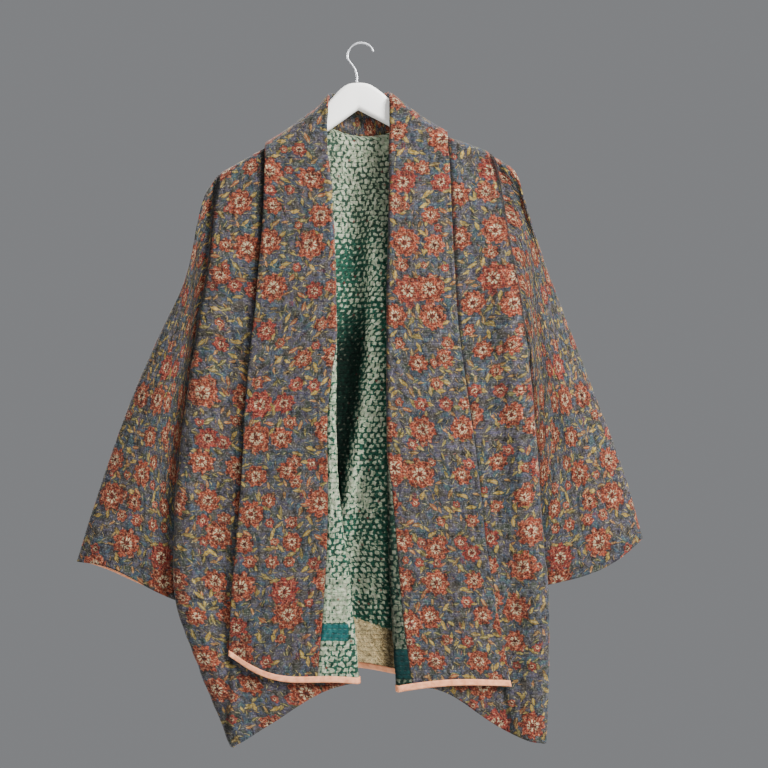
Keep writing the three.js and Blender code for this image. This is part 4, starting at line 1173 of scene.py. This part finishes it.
class JACKET_OT_sleeves(bpy.types.Operator):
    """Makes the two wide sleeves, whose cloth is turned under at the head"""

    bl_idname = "jacket.sleeves"
    bl_label = "Sleeves"

    def execute(self, context):
        for hand in HANDS:
            grid = sleeve_grid(hand, spans(SLEEVE_RUN), spans(SLEEVE_DEPTH))
            x, z = grid[..., 0] * hand.sign, grid[..., 2]
            across = x * math.cos(SLEEVE_SLANT) + z * math.sin(SLEEVE_SLANT)
            along = x * math.sin(SLEEVE_SLANT) - z * math.cos(SLEEVE_SLANT)
            run = running(grid)
            uv = np.stack([across[:, :1] - run, along], -1)
            # Painted shade along the armhole seam, fading out over 7 mm.
            crease = 1 - smooth(running(grid.transpose(1, 0, 2)).T / 7)
            # The print runs on over the crown, down the sleeve's back.
            drawn, behind = uv.copy(), grid.shape[1] // 2 + 1
            drawn[:, behind:, 0] = (across[:, :1] + run[:, -1:] - run)[:, behind:]
            piece = quilted(
                f"sleeve_{hand.name}", grid, uv, hand.flip, hand.sleeve_seed, edge_fade(grid), drawn,
                ringed=True, crease=crease, head=SLEEVE_HEAD,
            )
        return {"FINISHED"}


class JACKET_OT_facings(bpy.types.Operator):
    """Makes the peach facings inside the hems and the cuffs"""

    bl_idname = "jacket.facings"
    bl_label = "Hem facings"

    def execute(self, context):
        inside = {"outer": -CLOTH / 2 - SEAM, "inner": -CLOTH / 2 - SEAM - TAPE}
        v = np.linspace(1 - TAPE_WIDTH / 850, 1, 5)
        made = []
        for hand in HANDS:
            dense = front_rows(hand, v)
            grid = spread(dense, np.zeros(len(v)), running(dense)[:, -1], spans(HEM_RUN))
            made.append((f"front_{hand.name}", f"front_{hand.name}", grid, hand.flip, False))
        made.append(("back", "back", dense_back(v), -1, False))
        for hand in HANDS:
            grid = sleeve_grid(hand, CUFF_SPANS, spans(SLEEVE_DEPTH))[-4:]
            made.append((f"cuff_{hand.name}", f"sleeve_{hand.name}", grid, hand.flip, True))
        for name, wearer, grid, flip, ringed in made:
            uv = np.stack([running(grid), hang(grid)], -1)
            piece = wall_mesh(f"jacket_facing_{name}", grid, uv, flip, ringed, **inside)
            finish_piece(piece, f"facing_{name}", "hem_facing", peach_cotton, peach_cotton)
        return {"FINISHED"}


def tube(path, radius, sides):
    """A round tube along a path in the XZ plane. Each ring is a circle square to the path,
    between the path's own normal and +Y."""
    way = unit(np.gradient(path, axis=0))
    turn = np.arange(sides) * 2 * math.pi / sides
    x = path[:, :1] + way[:, 1:] * np.cos(turn) * radius
    z = path[:, 1:] - way[:, :1] * np.cos(turn) * radius
    return np.stack([x, np.broadcast_to(np.sin(turn) * radius, x.shape), z], -1)


def ring_mesh(name, rings):
    """A mesh round rings of points, with each end drawn in to a point's width."""
    middle = rings.mean(1, keepdims=True)
    first, last = lerp(middle[:1], rings[:1], 0.02), lerp(middle[-1:], rings[-1:], 0.02)
    closed = np.concatenate([first, rings, last])
    index = close_ring(np.arange(closed[..., 0].size).reshape(closed.shape[:2]))
    return new_mesh(name, closed.reshape(-1, 3), corners(index).reshape(-1, 4)[:, [0, 3, 2, 1]])


class JACKET_OT_hanger(bpy.types.Operator):
    """Makes the white hanger and its steel hook"""

    bl_idname = "jacket.hanger"
    bl_label = "Hanger"

    def execute(self, context):
        first, last = ARM["at"][0], ARM["at"][-1]
        tip = TIP_RUN * slow_start(10)
        flat = np.linspace(first + TIP_RUN, last - TIP_RUN, 110)
        x = np.concatenate([first + tip[:-1], flat, last - tip[-2::-1]])[:, None]
        near_tip = np.minimum(x - first, last - x)
        size = np.sqrt(1 - (1 - np.clip(near_tip / TIP_RUN, 0, 1)) ** 2) * 0.8 + 0.2
        arm = lerp(ARM_HEIGHT, TIP_HEIGHT, smooth((np.abs(x) - 60) / 130))
        top = read(ARM, "at", "top", x)
        inside = (x >= CHEVRON["at"][0]) & (x <= CHEVRON["at"][-1])
        height = np.where(inside, top - np.interp(x, CHEVRON["at"], CHEVRON["low"]), arm)
        middle = top - height / 2
        half = BOARD / 2
        turn = (2 * math.pi * (np.arange(40) + 0.5) / 40)[None, :]
        y = half * np.cos(turn) * size
        z = middle + (np.sign(np.sin(turn)) * (height / 2 - half) + half * np.sin(turn)) * size
        board = ring_mesh("hanger_board", np.stack([x + 0 * turn, y, z], -1))
        finish_piece(board, "hanger_body", "hanger_paint", hanger_paint)
        middle = WIRE / 2 - HOOK_RADIUS
        turn = np.radians(np.linspace(20, 190, 11))
        bend = np.stack([HOOK_RADIUS * np.cos(turn), middle + HOOK_RADIUS * np.sin(turn)], -1)
        points = np.concatenate([bend, HOOK_STEM])
        path = {"run": running(points[None])[0], "x": points[:, 0], "z": points[:, 1]}
        at = np.linspace(0, path["run"][-1], 140)
        line = np.stack([read(path, "run", "x", at), read(path, "run", "z", at)], -1)
        hook = ring_mesh("hanger_wire", tube(line, WIRE / 2, 16))
        finish_piece(hook, "hanger_hook", "hook_steel", hook_steel)
        return {"FINISHED"}


class JACKET_OT_stage(bpy.types.Operator):
    """Makes the camera, the soft lights, the surroundings and a pale floor"""

    bl_idname = "jacket.stage"
    bl_label = "Stage"

    def execute(self, context):
        stage = context.scene.kantha_stage
        where = (CAMERA_ACROSS, -stage.distance, CAMERA_HEIGHT)
        camera = self.place(context, bpy.data.cameras.new("camera"), where)
        camera.data.lens = CAMERA_LENS
        camera.data.sensor_width = CAMERA_SENSOR
        camera.rotation_euler = (math.pi / 2, 0, 0)
        context.scene.camera = camera
        for name, place, size, share in LIGHTS:
            lamp = bpy.data.lights.new(name, "AREA")
            lamp.size = size
            lamp.energy = stage.power * share
            target = np.array(LIGHT_TARGET) - np.array(place)
            flat = math.hypot(target[0], target[1])
            turn = (math.atan2(flat, -target[2]), 0, math.atan2(-target[0], target[1]))
            self.place(context, lamp, place).rotation_euler = turn
        world = bpy.data.worlds.new("surroundings")
        world.use_nodes = True
        world.node_tree.nodes["Background"].inputs[0].default_value = (*stage.grey, 1.0)
        context.scene.world = world
        turn = np.linspace(0, 2 * math.pi, 97)[:-1]
        radius = FLOOR_RINGS["radius"][:, None]
        height = FLOOR_RINGS["height"][:, None] + FLOOR_HEIGHT + 0 * turn
        rings = np.stack([radius * np.cos(turn), radius * np.sin(turn), height], -1)
        index = close_ring(np.arange(height.size).reshape(height.shape))
        floor = new_mesh("floor", rings.reshape(-1, 3), corners(index).reshape(-1, 4))
        floor.data.materials.append(floor_paint())
        return {"FINISHED"}

    @staticmethod
    def place(context, data, location):
        """A camera or a light put in the scene."""
        thing = bpy.data.objects.new(data.name, data)
        thing.location = location
        context.scene.collection.objects.link(thing)
        return thing


PIECES = (
    JACKET_OT_stage, JACKET_OT_hanger, JACKET_OT_back, JACKET_OT_fronts, JACKET_OT_collar,
    JACKET_OT_sleeves, JACKET_OT_facings,
)


class JACKET_PT_panel(bpy.types.Panel):
    """The jacket's sizes and its pieces"""

    bl_idname = "JACKET_PT_panel"
    bl_label = "Kantha Jacket"
    bl_space_type = "VIEW_3D"
    bl_region_type = "UI"
    bl_category = "Kantha Jacket"

    def draw(self, context):
        for group in (context.scene.kantha_jacket, context.scene.kantha_stage):
            for name in group.__annotations__:
                self.layout.prop(group, name)
        for piece in PIECES:
            self.layout.operator(piece.bl_idname)


CLASSES = (JacketSettings, StageSettings, *PIECES, JACKET_PT_panel)


def register():
    for item in CLASSES:
        bpy.utils.register_class(item)
    bpy.types.Scene.kantha_jacket = bpy.props.PointerProperty(type=JacketSettings)
    bpy.types.Scene.kantha_stage = bpy.props.PointerProperty(type=StageSettings)


def unregister():
    del bpy.types.Scene.kantha_stage
    del bpy.types.Scene.kantha_jacket
    for item in reversed(CLASSES):
        bpy.utils.unregister_class(item)


def main():
    register()
    for piece in PIECES:
        group, name = piece.bl_idname.split(".")
        getattr(getattr(bpy.ops, group), name)()


if __name__ == "__main__":
    main()
